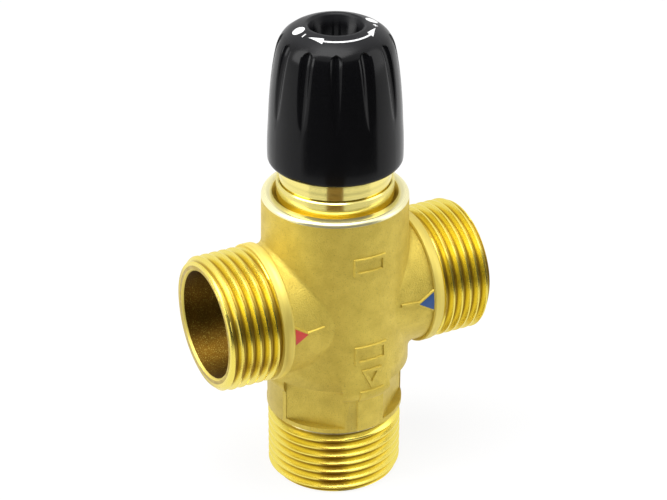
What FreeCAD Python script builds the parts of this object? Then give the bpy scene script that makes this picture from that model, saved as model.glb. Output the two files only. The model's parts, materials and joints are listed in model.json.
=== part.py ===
"""Three-port mixing valve: two side inlets, one outlet below, a setting knob on top.

Millimetres. The origin is the centre of the outlet's end face, +Z points up along the
spindle, the hot inlet is on -X, the cold inlet on +X, and the marked front faces -Y.
"""
import FreeCAD, Part
import math
import os
import Sketcher

V = FreeCAD.Vector
WIRE_SIDES = 8  # sides of a spring's wire
CORNER = 1.0 - math.sqrt(0.5)  # a quarter round's stand-back from its corner, over its radius

# --------------------------------------------------------------------------------------
# Driving dimensions. Every value is a plain number in the sheet, under its own name.
# --------------------------------------------------------------------------------------
SIZES = [
    # pipe threads, as plain cylinders over the crests
    ("thread_radius", 16.62, "pipe thread G1, over the crests"),
    ("inlet_thread", 13.4, "length of each inlet thread"),
    ("outlet_thread", 17.0, "length of the outlet thread"),
    ("thread_relief", 1.2, "width of the relief above the outlet thread"),
    ("relief_depth", 1.1, "depth of that relief"),
    ("face_chamfer", 1.1, "chamfer at the end of each thread"),
    # forged body
    ("boss_rise", 2.0, "lowest line of the inlets' bosses above the barrel's lower end"),
    ("boss_length", 0.6, "shortest run of an inlet's boss outside the barrel"),
    ("rim_rise", 28.4, "top of the body above the inlets' axis"),
    ("neck_step", 0.28, "how much the neck stands over the thread"),
    ("barrel_step", 0.9, "how much the barrel stands over the neck"),
    ("barrel_draft", 0.5, "how much wider the barrel is at its lower end"),
    ("neck_length", 9.0, "neck between the relief and the barrel's shoulder"),
    ("shoulder_rise", 3.2, "height of the round under the barrel"),
    ("rim_round", 1.1, "rounded outer edge of the rim"),
    ("boss_step", 0.52, "how much an inlet's boss stands back from its thread"),
    ("boss_blend", 1.5, "fillet between boss and barrel"),
    ("collar_step", 0.28, "how much the collar stands over the inlet thread"),
    ("collar_width", 2.7, "width of that collar"),
    ("flat_depth", 2.0, "depth of a wrench flat in the neck"),
    ("flat_gap", 1.2, "from the relief up to a wrench flat"),
    ("flat_rise", 11.8, "height of the wrench flats"),
    ("flat_half_width", 7.6, "half width of a wrench flat"),
    ("flat_blend", 3.0, "fillet at the top of a wrench flat"),
    # water ways
    ("port_wall", 3.37, "wall between a port's bore and its thread"),
    ("bore_chamfer", 0.5, "inner chamfer at a port's face"),
    ("inlet_bore_depth", 16.0, "depth of an inlet's bore"),
    ("duct_half_width", 8.6, "half width of the duct from inlet to chamber"),
    ("duct_height", 8.4, "height of that duct"),
    ("chamber_step", 0.65, "how much narrower the chambers are than the ports"),
    ("seat_step", 0.35, "how much narrower the hot seat's bore is than the ports"),
    ("seat_shoulder", 3.0, "from the hot seat ring down to the end of its bore"),
    ("web_rise", 0.5, "middle of the web above the inlets' axis"),
    ("web_thickness", 5.0, "thickness of the web between hot and cold"),
    ("web_reach", 1.6, "how far the web stands into the chambers"),
    ("hot_seat_drop", 13.0, "hot seat below the middle of the web"),
    ("cold_seat_rise", 12.0, "cold seat above the middle of the web"),
    # bonnet
    ("nose_step", 0.6, "how much narrower the bonnet's nose is than the chamber"),
    ("nose_length", 2.5, "length of that nose"),
    ("bonnet_thread_step", 0.4, "how much wider the bonnet's thread is than the chamber"),
    ("pilot_step", 0.6, "how much wider the sealed pilot is than that thread"),
    ("pilot_depth", 4.9, "height of the pilot in the body"),
    ("recess_step", 1.6, "how much wider the rim's recess is than the pilot"),
    ("recess_depth", 0.8, "depth of the recess in the body's rim"),
    ("recess_gap", 1.0, "gap round the bonnet in that recess"),
    ("lower_band_height", 3.5, "height of the bonnet's lower band over the rim"),
    ("band_step", 0.7, "how much narrower the upper band is"),
    ("band_groove", 0.35, "width and depth of the groove between the bands"),
    ("upper_band_height", 7.0, "height of the bonnet's upper band"),
    ("hex_step", 3.0, "how far the hexagon's sides stand back from the upper band"),
    ("hex_height", 3.6, "height of the bonnet's hexagon"),
    ("gland_height", 6.5, "height of the spindle's gland"),
    ("gland_radius", 5.0, "bore of the gland"),
    # seals
    ("bonnet_seal_wire", 0.75, "section radius of the bonnet's O-ring"),
    ("spindle_seal_wire", 0.55, "section radius of a spindle O-ring"),
    ("shuttle_seal_wire", 0.5, "section radius of the shuttle's O-ring"),
    ("seal_land", 1.2, "land under the bonnet's O-ring"),
    ("seal_slack", 0.2, "how much higher an O-ring's groove is than the ring"),
    # spindle
    ("spindle_thread", 4.0, "radius of the spindle's driving thread"),
    ("spindle_grip", 5.6, "length of the spindle's thread in its nut"),
    ("thrust_gap", 1.1, "gap round the spindle's thrust collar in the bonnet"),
    ("thrust_height", 2.2, "height of that collar"),
    ("washer_thickness", 0.6, "thickness of a thin washer"),
    ("shoulder_gap", 2.4, "from the bonnet up to the spindle's shoulder"),
    ("spline_radius", 4.0, "radius of the spindle's flatted end"),
    ("spline_flat", 3.2, "flat on that end, from the axis"),
    ("spline_length", 10.2, "length of that end"),
    ("clip_thickness", 1.0, "thickness of a retaining ring"),
    ("clip_groove_depth", 0.6, "depth of a retaining ring's groove"),
    ("clip_gap", 35.0, "opening of a retaining ring, in degrees"),
    ("clip_reach", 2.0, "how far the spindle's clip stands over the gland's bore"),
    # knob
    ("knob_drop", 2.2, "how far the knob hangs over the upper band"),
    ("knob_height", 34.6, "height of the knob"),
    ("knob_gap", 0.7, "gap between the bonnet's upper band and the knob"),
    ("knob_shoulder", 4.6, "height of the knob's rounded shoulder"),
    ("knob_taper", 2.6, "how much narrower the knob is at its shoulder"),
    ("knob_phase", 3.0, "turn of the knob and spindle at rest, in degrees"),
    ("knob_wall", 2.0, "wall of the knob"),
    ("knob_edge", 0.9, "rounded lower edge of the knob"),
    ("knob_hole", 6.3, "radius of the hole in the crown"),
    ("hole_edge", 0.6, "edge of that hole"),
    ("knob_web", 2.0, "web under the screw's head"),
    ("knob_hub", 7.0, "radius of the knob's hub"),
    ("flute_count", 12, "flutes round the knob"),
    ("flute_rise", 13.8, "lower end of a flute above the knob's lower edge"),
    ("flute_tip", 0.5, "radius of a flute's cutter at its lower end"),
    ("flute_width", 1.6, "radius of a flute's cutter at its upper end"),
    ("flute_depth", 0.45, "depth of a flute at the shoulder"),
    ("rib_count", 6, "ribs inside the knob"),
    ("rib_thickness", 1.4, "thickness of a rib"),
    ("screw_radius", 2.0, "radius of the knob's screw"),
    ("screw_length", 9.0, "length of that screw in the spindle"),
    ("screw_head_radius", 3.7, "radius of the screw's head"),
    ("screw_head_height", 2.4, "height of the screw's head"),
    # setting mechanism
    ("sleeve_hex", 8.1, "half the width across the bonnet's hexagonal bore"),
    ("sleeve_gap", 1.6, "adjuster sleeve above the cold seat"),
    ("sleeve_height", 17.6, "height of the adjuster sleeve"),
    ("nut_height", 6.0, "threaded height inside the sleeve"),
    ("sleeve_wall", 1.3, "thinnest wall of the sleeve round its spring"),
    ("cup_rise", 1.8, "underside of the pressure cup above the sleeve's lower end"),
    ("cup_flange", 1.4, "thickness of the cup's flange"),
    ("cup_boss", 3.4, "radius of the cup's boss inside the spring"),
    ("cup_boss_height", 2.2, "height of that boss"),
    ("overtravel_wire", 0.6, "half the wire of the overtravel spring"),
    ("overtravel_turns", 3.5, "turns of the overtravel spring"),
    ("overtravel_gap", 0.5, "gap between that spring and its bore"),
    # shuttle and element
    ("seat_gap", 1.0, "opening at each seat in the middle position"),
    ("shuttle_wall", 1.4, "wall of the shuttle's skirts"),
    ("shuttle_lip", 0.4, "edge of the shuttle's skirts"),
    ("spider_drop", 3.0, "underside of the shuttle's spokes below the web's middle"),
    ("spider_thickness", 4.0, "thickness of the spokes"),
    ("spoke_width", 2.4, "width of a spoke"),
    ("hub_wall", 1.8, "wall of the shuttle's hub round the element's neck"),
    ("element_neck", 4.4, "radius of the element's neck"),
    ("element_neck_length", 14.4, "length of that neck"),
    ("element_pin_radius", 1.9, "radius of the element's pin"),
    ("pin_bore_rise", 0.4, "bottom of the pin's bore above the cup"),
    ("pin_room", 3.6, "room for the wax's stroke under the pin"),
    ("bulb_length", 21.0, "length of the sensing cup"),
    ("bulb_round", 1.5, "rounded lower edge of the sensing cup"),
    ("flange_step", 1.4, "how far the crimped flange stands out"),
    ("flange_height", 2.4, "height of the crimped flange"),
    ("flange_wall", 1.2, "wall of the crimped flange round the guide's base"),
    ("return_wire", 0.6, "half the wire of the return spring"),
    ("return_outer_gap", 0.69, "gap between that spring and the shuttle's skirt"),
    ("return_inner_gap", 0.45, "gap between that spring and the crimped flange"),
    ("return_turns", 6.5, "turns of the return spring"),
    ("seat_ring_height", 6.0, "height of the hot seat ring"),
    ("seat_ring_gap", 0.75, "gap between the return spring and the hot seat ring"),
    ("guide_floor", 15.8, "underside of the spring guide"),
    ("guide_height", 2.2, "height of the spring guide"),
    ("guide_lip", 0.75, "how far the spring guide's seat stands outside its spring"),
    ("guide_inner_lip", 1.05, "how far that seat stands inside its spring"),
    # edges and clearances
    ("small_edge", 0.3, "broken edge of a turned piece"),
    ("running_gap", 0.06, "radial gap between pieces that slide or turn"),
    ("fixed_gap", 0.04, "radial gap between pieces that are screwed or pushed together"),
]

DOC = FreeCAD.newDocument("mixing_valve")


class Size:
    """A number that remembers how it was worked out from the sheet."""

    def __init__(self, value, text):
        self.value = value
        self.text = text

    def _combine(self, other, sign, value):
        right = other.text if isinstance(other, Size) else repr(other)
        return Size(value, "(%s %s %s)" % (self.text, sign, right))

    def __add__(self, other):
        return self._combine(other, "+", self.value + number(other))

    def __sub__(self, other):
        return self._combine(other, "-", self.value - number(other))

    def __mul__(self, other):
        return self._combine(other, "*", self.value * number(other))

    def __truediv__(self, other):
        return self._combine(other, "/", self.value / number(other))


def number(size):
    """The plain value of a Size or of a number."""
    return size.value if isinstance(size, Size) else float(size)


def make_sheet():
    """Write the driving dimensions, and return them by name."""
    sheet = DOC.addObject("Spreadsheet::Sheet", "sizes")
    named = {}
    for row, (alias, value, meaning) in enumerate(SIZES, start=1):
        sheet.set("A%d" % row, meaning)
        sheet.set("B%d" % row, str(value))
        sheet.setAlias("B%d" % row, alias)
        named[alias] = Size(float(value), "sizes." + alias)
    DOC.recompute()
    return named


class Named:
    """The sheet's values as attributes."""

    def __init__(self, values):
        self.__dict__.update(values)


S = Named(make_sheet())


def stack_body():
    """Radii and heights of the body, from the threads and the inlets' axis."""
    S.neck_radius = S.thread_radius + S.neck_step
    S.barrel_radius = S.neck_radius + S.barrel_step
    S.boss_radius = S.thread_radius - S.boss_step
    S.collar_radius = S.thread_radius + S.collar_step
    S.flat_distance = S.neck_radius - S.flat_depth
    S.port_bore = S.thread_radius - S.port_wall
    S.collar_inner = S.barrel_radius + S.barrel_draft + S.boss_length
    S.collar_outer = S.collar_inner + S.collar_width
    S.port_reach = S.collar_outer + S.inlet_thread
    S.inlet_bore_end = S.port_reach - S.inlet_bore_depth
    S.chamber_radius = S.port_bore - S.chamber_step
    S.seat_bore = S.port_bore - S.seat_step
    S.guide_radius = S.chamber_radius - S.web_reach
    S.relief_top = S.outlet_thread + S.thread_relief
    S.flat_floor = S.relief_top + S.flat_gap
    S.neck_top = S.relief_top + S.neck_length
    S.barrel_floor = S.neck_top + S.shoulder_rise
    S.port_height = S.barrel_floor + S.boss_radius + S.boss_rise
    S.rim_height = S.port_height + S.rim_rise
    S.web_height = S.port_height + S.web_rise
    S.hot_seat_height = S.web_height - S.hot_seat_drop
    S.seat_bore_floor = S.hot_seat_height - S.seat_ring_height - S.seat_shoulder
    S.cold_seat_height = S.web_height + S.cold_seat_rise


def stack_bonnet():
    """Radii and heights of the bonnet, from the body's chamber and rim."""
    S.bonnet_nose = S.chamber_radius - S.nose_step
    S.bonnet_thread = S.chamber_radius + S.bonnet_thread_step
    S.pilot_radius = S.bonnet_thread + S.pilot_step
    S.pilot_height = S.rim_height - S.pilot_depth
    S.rim_recess = S.pilot_radius + S.recess_step
    S.lower_band = S.rim_recess - S.recess_gap
    S.upper_band = S.lower_band - S.band_step
    S.bonnet_hex = S.upper_band - S.hex_step
    S.lower_band_top = S.rim_height + S.lower_band_height
    S.upper_band_top = S.lower_band_top + S.upper_band_height
    S.bonnet_top = S.upper_band_top + S.hex_height
    S.gland_floor = S.bonnet_top - S.gland_height


def stack_inside():
    """Radii and heights of the pieces that the body and the bonnet hold, and of the knob."""
    S.return_outer = S.guide_radius - S.running_gap - S.shuttle_wall - S.return_outer_gap
    S.return_radius = S.return_outer - S.return_wire
    S.seat_ring_bore = S.return_outer + S.seat_ring_gap
    S.guide_hub = S.return_outer + S.guide_lip
    S.guide_hub_bore = S.return_radius - S.return_wire - S.guide_inner_lip
    S.bulb_flange = S.return_radius - S.return_wire - S.return_inner_gap
    S.bulb_radius = S.bulb_flange - S.flange_step
    S.guide_base = S.bulb_flange - S.flange_wall
    S.hub_radius = S.element_neck + S.hub_wall
    S.cup_bore = S.sleeve_hex - S.sleeve_wall
    S.thrust_radius = S.sleeve_hex - S.thrust_gap
    S.knob_radius = S.upper_band + S.knob_gap + S.knob_wall
    S.sleeve_floor = S.cold_seat_height + S.sleeve_gap
    S.sleeve_top = S.sleeve_floor + S.sleeve_height
    S.cup_height = S.sleeve_floor + S.cup_rise
    S.spider_height = S.web_height - S.spider_drop
    S.element_neck_top = S.spider_height + S.element_neck_length
    S.pin_bore_floor = S.spider_height + S.pin_bore_rise
    S.element_pin_foot = S.pin_bore_floor + S.pin_room
    S.bulb_floor = S.spider_height - S.bulb_length
    S.spindle_foot = S.sleeve_top - S.spindle_grip
    S.spindle_shoulder = S.bonnet_top + S.shoulder_gap
    S.spindle_head = S.spindle_shoulder + S.spline_length
    S.knob_floor = S.upper_band_top - S.knob_drop
    S.knob_top = S.knob_floor + S.knob_height
    S.flute_foot = S.knob_floor + S.flute_rise


stack_body()
stack_bonnet()
stack_inside()


def bind(feature, prop, size):
    """Tie a property to the sheet."""
    if isinstance(size, Size):
        feature.setExpression(prop, size.text)
    else:
        setattr(feature, prop, size)


# --------------------------------------------------------------------------------------
# Sketches and features
# --------------------------------------------------------------------------------------
def new_body(label):
    body = DOC.addObject("PartDesign::Body", label)
    body.Label = label
    return body


def origin_part(body, role):
    """A plane or axis of the body's own origin."""
    return [f for f in body.Origin.OriginFeatures if f.Role == role][0]


def new_sketch(body, role="XZ_Plane", lift=None):
    """A sketch on an origin plane; lift moves it along the sketch's own vertical or normal."""
    sketch = body.newObject("Sketcher::SketchObject", body.Name + "_sketch")
    sketch.AttachmentSupport = [(origin_part(body, role), "")]
    sketch.MapMode = "FlatFace"
    if lift is not None:
        direction, size = lift
        sketch.setExpression("AttachmentOffset.Base." + direction, size.text)
    return sketch


def hold(sketch, geometry, vertex, x, z):
    """Fix one vertex of a sketch at (x, z); a plain 0 puts it on the axis."""
    for kind, axis, size in (("DistanceX", -2, x), ("DistanceY", -1, z)):
        if number(size) == 0.0:
            sketch.addConstraint(Sketcher.Constraint("PointOnObject", geometry, vertex, axis))
            continue
        index = sketch.addConstraint(
            Sketcher.Constraint(kind, -1, 1, geometry, vertex, number(size)))
        if isinstance(size, Size):
            sketch.setExpression("Constraints[%d]" % index, size.text)


def draw_outline(sketch, path):
    """A closed outline. A path item is (x, z), reached by a straight line from the item before,
    or (via_x, via_z, x, z), reached by an arc through the first pair."""
    corners = [item[-2:] for item in path]
    starts = []
    for place, item in enumerate(path):
        begin = corners[place - 1]
        end = corners[place]
        a = V(number(begin[0]), number(begin[1]), 0)
        b = V(number(end[0]), number(end[1]), 0)
        if len(item) == 2:
            index = sketch.addGeometry(Part.LineSegment(a, b), False)
            starts.append((index, 1, 2))
            continue
        via = V(number(item[0]), number(item[1]), 0)
        turns_left = (via - a).cross(b - via).z > 0
        arc = Part.Arc(a, via, b) if turns_left else Part.Arc(b, via, a)
        index = sketch.addGeometry(arc, False)
        starts.append((index, 1, 2) if turns_left else (index, 2, 1))
        point = sketch.addGeometry(Part.Point(via), True)
        sketch.addConstraint(Sketcher.Constraint("PointOnObject", point, 1, index))
        hold(sketch, point, 1, item[0], item[1])
    for place, (index, first, last) in enumerate(starts):
        following, follow_first, _ = starts[(place + 1) % len(starts)]
        sketch.addConstraint(
            Sketcher.Constraint("Coincident", index, last, following, follow_first))
        hold(sketch, index, last, corners[place][0], corners[place][1])


def draw_circle(sketch, x, z, radius):
    """A circle with its centre at (x, z)."""
    circle = Part.Circle(V(number(x), number(z), 0), V(0, 0, 1), number(radius))
    index = sketch.addGeometry(circle, False)
    held = sketch.addConstraint(Sketcher.Constraint("Radius", index, number(radius)))
    if isinstance(radius, Size):
        sketch.setExpression("Constraints[%d]" % held, radius.text)
    if number(x) == 0.0 and number(z) == 0.0:
        sketch.addConstraint(Sketcher.Constraint("Coincident", index, 3, -1, 1))
    else:
        hold(sketch, index, 3, x, z)


def draw_polygon(sketch, sides, apothem, centre=None):
    """A regular polygon, one side facing the sketch's horizontal; it sits on the origin
    unless a centre is given."""
    half = math.pi / sides
    reach = 1.0 / math.cos(half)
    path = []
    for k in range(sides):
        angle = half + 2 * half * k
        corner = (apothem * round(reach * math.cos(angle), 9),
                  apothem * round(reach * math.sin(angle), 9))
        if centre is not None:
            corner = (centre[0] + corner[0], centre[1] + corner[1])
        path.append(tuple(0.0 if abs(number(v)) < 1e-6 else v for v in corner))
    draw_outline(sketch, path)


def turn(body, path, cut=False, axis="V_Axis", lift=None, angle=360.0):
    """Revolve an outline about the sketch's vertical or horizontal axis, to add or to cut."""
    sketch = new_sketch(body, "XZ_Plane", lift)
    draw_outline(sketch, path)
    kind = "PartDesign::Groove" if cut else "PartDesign::Revolution"
    feature = body.newObject(kind, body.Name + "_turned")
    feature.Profile = sketch
    feature.ReferenceAxis = (sketch, [axis])
    feature.Angle = angle
    sketch.Visibility = False
    return feature


def pad(body, draw, floor, height, cut=False, role="XY_Plane", reverse=False):
    """Pad or pocket what draw puts in a sketch at the given height along the plane's normal."""
    sketch = new_sketch(body, role, ("z", floor) if isinstance(floor, Size) else None)
    draw(sketch)
    kind = "PartDesign::Pocket" if cut else "PartDesign::Pad"
    feature = body.newObject(kind, body.Name + "_pad")
    feature.Profile = sketch
    bind(feature, "Length", height)
    feature.Reversed = reverse
    sketch.Visibility = False
    return feature


def polar(body, feature, count):
    """Repeat a feature round the vertical axis."""
    pattern = body.newObject("PartDesign::PolarPattern", body.Name + "_pattern")
    pattern.Originals = [feature]
    pattern.Axis = (origin_part(body, "Z_Axis"), [""])
    pattern.Angle = 360.0
    bind(pattern, "Occurrences", count)
    body.Tip = pattern
    return pattern


def soften(body, radius, choose, kind="Fillet"):
    """Fillet or chamfer the edges of the body's tip that choose accepts."""
    DOC.recompute()
    base = body.Tip
    names = ["Edge%d" % (k + 1) for k, edge in enumerate(base.Shape.Edges) if choose(edge)]
    if not names:
        raise RuntimeError("no edge to soften on " + body.Label)
    feature = body.newObject("PartDesign::" + kind, body.Name + "_" + kind.lower())
    feature.Base = (base, names)
    bind(feature, "Radius" if kind == "Fillet" else "Size", radius)
    return feature


def ring(label, radius, wire, height):
    """An O-ring."""
    torus = DOC.addObject("Part::Torus", label)
    torus.Label = label
    bind(torus, "Radius1", radius)
    bind(torus, "Radius2", wire)
    torus.setExpression("Placement.Base.z", height.text)
    return torus


def tube(label, inner, outer, floor, top):
    """A plain turned ring."""
    body = new_body(label)
    turn(body, [(inner, floor), (outer, floor), (outer, top), (inner, top)])
    return body


def open_ring(label, inner, outer, floor):
    """A retaining ring with a gap."""
    body = new_body(label)
    top = floor + S.clip_thickness
    opened = turn(body, [(inner, floor), (outer, floor), (outer, top), (inner, top)])
    opened.setExpression("Angle", "360 - " + S.clip_gap.text)
    return body


def coil(label, radius, wire, floor, top, turns):
    """A compression spring between two heights, its wire drawn with flat sides."""
    body = new_body(label)
    sketch = new_sketch(body)
    draw_polygon(sketch, WIRE_SIDES, wire, (radius, floor + wire))
    helix = body.newObject("PartDesign::AdditiveHelix", label + "_wire")
    helix.Profile = sketch
    helix.ReferenceAxis = (sketch, ["V_Axis"])
    helix.Mode = "height-turns-angle"
    helix.setExpression("Height", (top - floor - wire * 2.0).text)
    helix.setExpression("Turns", turns.text)
    helix.Angle = 0.0
    helix.Growth = 0.0
    helix.LeftHanded = False
    sketch.Visibility = False
    return body


# --------------------------------------------------------------------------------------
# Forged body
# --------------------------------------------------------------------------------------
def is_straight(edge):
    return isinstance(edge.Curve, Part.Line)


def middle(edge):
    """The middle of an edge, and its distance from the vertical axis."""
    point = edge.valueAt((edge.FirstParameter + edge.LastParameter) / 2)
    return point, math.hypot(point.x, point.y)


def web_faces():
    """Lower and upper face of the web that parts hot from cold."""
    half = S.web_thickness / 2.0
    return S.web_height - half, S.web_height + half


def barrel_outline():
    low_radius = S.barrel_radius + S.barrel_draft
    drop = S.barrel_floor - S.neck_top
    groove = S.thread_radius - S.relief_depth
    return [
        (0.0, 0.0),
        (S.thread_radius - S.face_chamfer, 0.0),
        (S.thread_radius, S.face_chamfer),
        (S.thread_radius, S.outlet_thread - S.relief_depth),
        (groove, S.outlet_thread),
        (groove, S.relief_top),
        (S.neck_radius, S.relief_top),
        (S.neck_radius, S.neck_top),
        (low_radius - (low_radius - S.neck_radius) * 0.25, S.neck_top + drop * 0.3,
         low_radius, S.barrel_floor),
        (S.barrel_radius, S.rim_height - S.rim_round),
        (S.barrel_radius - S.rim_round * CORNER, S.rim_height - S.rim_round * CORNER,
         S.barrel_radius - S.rim_round, S.rim_height),
        (0.0, S.rim_height),
    ]


def inlet_outline():
    """One inlet, from the spindle axis outwards; x runs along the inlet."""
    return [
        (0.0, 0.0),
        (S.port_reach, 0.0),
        (S.port_reach, S.thread_radius - S.face_chamfer),
        (S.port_reach - S.face_chamfer, S.thread_radius),
        (S.collar_outer, S.thread_radius),
        (S.collar_outer, S.collar_radius - S.small_edge),
        (S.collar_outer - S.small_edge, S.collar_radius),
        (S.collar_inner + S.small_edge, S.collar_radius),
        (S.collar_inner, S.collar_radius - S.small_edge),
        (S.collar_inner, S.boss_radius),
        (0.0, S.boss_radius),
    ]


def bore_outline():
    """The stepped vertical bore, from the outlet up to the rim."""
    web_low, web_high = web_faces()
    groove = S.port_bore + S.clip_groove_depth
    groove_floor = S.guide_floor - S.clip_thickness - S.running_gap
    thread_floor = S.cold_seat_height + S.nose_length
    recess = S.rim_height - S.recess_depth
    return [
        (0.0, 0.0),
        (S.port_bore + S.bore_chamfer, 0.0),
        (S.port_bore, S.bore_chamfer),
        (S.port_bore, groove_floor),
        (groove, groove_floor),
        (groove, S.guide_floor),
        (S.port_bore, S.guide_floor),
        (S.port_bore, S.seat_bore_floor),
        (S.seat_bore, S.seat_bore_floor),
        (S.seat_bore, S.hot_seat_height),
        (S.chamber_radius, S.hot_seat_height),
        (S.chamber_radius, web_low),
        (S.guide_radius, web_low),
        (S.guide_radius, web_high),
        (S.chamber_radius, web_high),
        (S.chamber_radius, thread_floor),
        (S.bonnet_thread, thread_floor),
        (S.bonnet_thread, S.pilot_height),
        (S.pilot_radius, S.pilot_height),
        (S.pilot_radius, recess),
        (S.rim_recess, recess),
        (S.rim_recess, S.rim_height),
        (0.0, S.rim_height),
    ]


def wrench_flat(sketch):
    """What is cut off the neck in front of one wrench flat, turned by 45 degrees."""
    slant = math.sqrt(0.5)
    near = S.flat_distance * slant
    far = (S.barrel_radius + S.flat_half_width) * slant
    side = S.flat_half_width * slant
    draw_outline(sketch, [
        (near - side, near + side),
        (near + side, near - side),
        (far + side, far - side),
        (far - side, far + side),
    ])


def duct(body, low, high, reverse):
    """The passage from an inlet's bore into one of the two chambers."""
    height = (low + high) / 2.0
    half = S.duct_height / 2.0
    run = S.duct_half_width - half

    def draw(sketch):
        draw_outline(sketch, [
            (run, height - half),
            (S.duct_half_width, height, run, height + half),
            (run * -1.0, height + half),
            (S.duct_half_width * -1.0, height, run * -1.0, height - half),
        ])

    pad(body, draw, None, S.inlet_bore_end + S.bore_chamfer, cut=True, role="YZ_Plane",
        reverse=reverse)


def mirrored(body, feature):
    """Repeat a feature on the other side of the spindle axis."""
    mirror = body.newObject("PartDesign::Mirrored", body.Name + "_mirrored")
    mirror.Originals = [feature]
    mirror.MirrorPlane = (origin_part(body, "YZ_Plane"), [""])
    body.Tip = mirror


def make_valve_body():
    body = new_body("valve_body")
    turn(body, barrel_outline())
    mirrored(body, turn(body, inlet_outline(), axis="H_Axis", lift=("y", S.port_height)))

    tall = S.boss_radius.value

    def in_valley(edge):
        """The curves where the bosses meet the barrel."""
        box = edge.BoundBox
        reach = max(abs(box.XMin), abs(box.XMax))
        return box.ZLength > tall and reach < S.collar_inner.value - 0.1 and not is_straight(edge)

    soften(body, S.boss_blend, in_valley)

    cut = pad(body, wrench_flat, S.flat_floor, S.flat_rise, cut=True, reverse=True)
    polar(body, cut, 4)
    ceiling = (S.flat_floor + S.flat_rise).value

    def flat_ceiling(edge):
        """The inner edge where a wrench flat ends under the barrel."""
        point, radius = middle(edge)
        level = abs(point.z - ceiling) < 0.01
        return is_straight(edge) and level and abs(radius - S.flat_distance.value) < 0.01

    soften(body, S.flat_blend, flat_ceiling)

    turn(body, bore_outline(), cut=True)
    bore = turn(body, [
        (S.inlet_bore_end, 0.0),
        (S.port_reach, 0.0),
        (S.port_reach, S.port_bore + S.bore_chamfer),
        (S.port_reach - S.bore_chamfer, S.port_bore),
        (S.inlet_bore_end, S.port_bore),
    ], cut=True, axis="H_Axis", lift=("y", S.port_height))
    mirrored(body, bore)
    web_low, web_high = web_faces()
    duct(body, S.hot_seat_height, web_low, reverse=False)
    duct(body, web_high, S.cold_seat_height + S.nose_length, reverse=True)
    return body


# --------------------------------------------------------------------------------------
# Bonnet and the pieces fixed in the body
# --------------------------------------------------------------------------------------
def make_bonnet():
    body = new_body("bonnet")
    thread = S.bonnet_thread - S.fixed_gap
    pilot = S.pilot_radius - S.fixed_gap
    seal_room = S.bonnet_seal_wire * 2.0 + S.fixed_gap
    seal_floor = S.pilot_height + S.seal_land
    seal_roof = seal_floor + seal_room + S.seal_slack
    step = S.rim_height - S.recess_depth
    edge = S.small_edge
    turn(body, [
        (0.0, S.cold_seat_height),
        (S.bonnet_nose, S.cold_seat_height),
        (S.bonnet_nose, S.cold_seat_height + S.nose_length),
        (thread - edge, S.cold_seat_height + S.nose_length),
        (thread, S.cold_seat_height + S.nose_length + edge),
        (thread, S.pilot_height + S.running_gap),
        (pilot, S.pilot_height + S.running_gap),
        (pilot, seal_floor),
        (pilot - seal_room, seal_floor),
        (pilot - seal_room, seal_roof),
        (pilot, seal_roof),
        (pilot, step),
        (S.lower_band, step),
        (S.lower_band, S.lower_band_top - edge),
        (S.lower_band - edge, S.lower_band_top),
        (S.upper_band - S.band_groove, S.lower_band_top),
        (S.upper_band - S.band_groove, S.lower_band_top + S.band_groove),
        (S.upper_band, S.lower_band_top + S.band_groove),
        (S.upper_band, S.upper_band_top - edge),
        (S.upper_band - edge, S.upper_band_top),
        (0.0, S.upper_band_top),
    ])
    hexagon_height = S.bonnet_top - S.upper_band_top
    pad(body, lambda sketch: draw_polygon(sketch, 6, S.bonnet_hex), S.upper_band_top,
        hexagon_height)
    pad(body, lambda sketch: draw_polygon(sketch, 6, S.sleeve_hex), S.cold_seat_height,
        S.gland_floor - S.cold_seat_height, cut=True, reverse=True)
    pad(body, lambda sketch: draw_circle(sketch, 0.0, 0.0, S.gland_radius), S.gland_floor,
        S.bonnet_top - S.gland_floor, cut=True, reverse=True)
    return body


def make_bonnet_seal():
    radius = S.pilot_radius - S.fixed_gap - S.bonnet_seal_wire
    height = S.pilot_height + S.seal_land + S.bonnet_seal_wire + S.seal_slack / 2.0
    return ring("bonnet_seal_ring", radius, S.bonnet_seal_wire, height)


def make_hot_seat():
    """The ring that the shuttle's lower edge closes on, with two slots for its key."""
    floor = S.hot_seat_height - S.seat_ring_height
    body = tube("hot_seat_ring", S.seat_ring_bore, S.seat_bore - S.fixed_gap, floor,
                S.hot_seat_height)
    slot = S.seat_ring_height / 4.0

    def draw(sketch):
        draw_outline(sketch, [
            (S.seat_bore * -1.0, slot * -1.0),
            (S.seat_bore, slot * -1.0),
            (S.seat_bore, slot),
            (S.seat_bore * -1.0, slot),
        ])

    pad(body, draw, floor, slot, cut=True, reverse=True)
    return body


def make_spring_guide():
    """A ring in the outlet with four spokes, which carries the return spring."""
    body = new_body("spring_guide")
    outer = S.port_bore - S.fixed_gap
    inner = outer - S.shuttle_wall
    top = S.guide_floor + S.guide_height
    turn(body, [(inner, S.guide_floor), (outer, S.guide_floor), (outer, top), (inner, top)])
    half = S.spoke_width / 2.0
    reach = (inner + outer) / 2.0
    spoke = pad(body, lambda sketch: draw_outline(sketch, [
        (reach * -1.0, half * -1.0), (reach, half * -1.0), (reach, half), (reach * -1.0, half),
    ]), S.guide_floor, S.guide_height)
    polar(body, spoke, 4)
    pad(body, lambda sketch: draw_circle(sketch, 0.0, 0.0, S.guide_hub), S.guide_floor,
        S.guide_height)
    pad(body, lambda sketch: draw_circle(sketch, 0.0, 0.0, S.guide_hub_bore), S.guide_floor,
        S.guide_height, cut=True, reverse=True)
    return body


def make_outlet_clip():
    outer = S.port_bore + S.clip_groove_depth - S.fixed_gap
    return open_ring("outlet_retaining_ring", S.port_bore - S.clip_thickness * 1.3, outer,
                     S.guide_floor - S.clip_thickness)


def make_return_spring():
    return coil("return_spring", S.return_radius, S.return_wire,
                S.guide_floor + S.guide_height, S.spider_height, S.return_turns)


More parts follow.
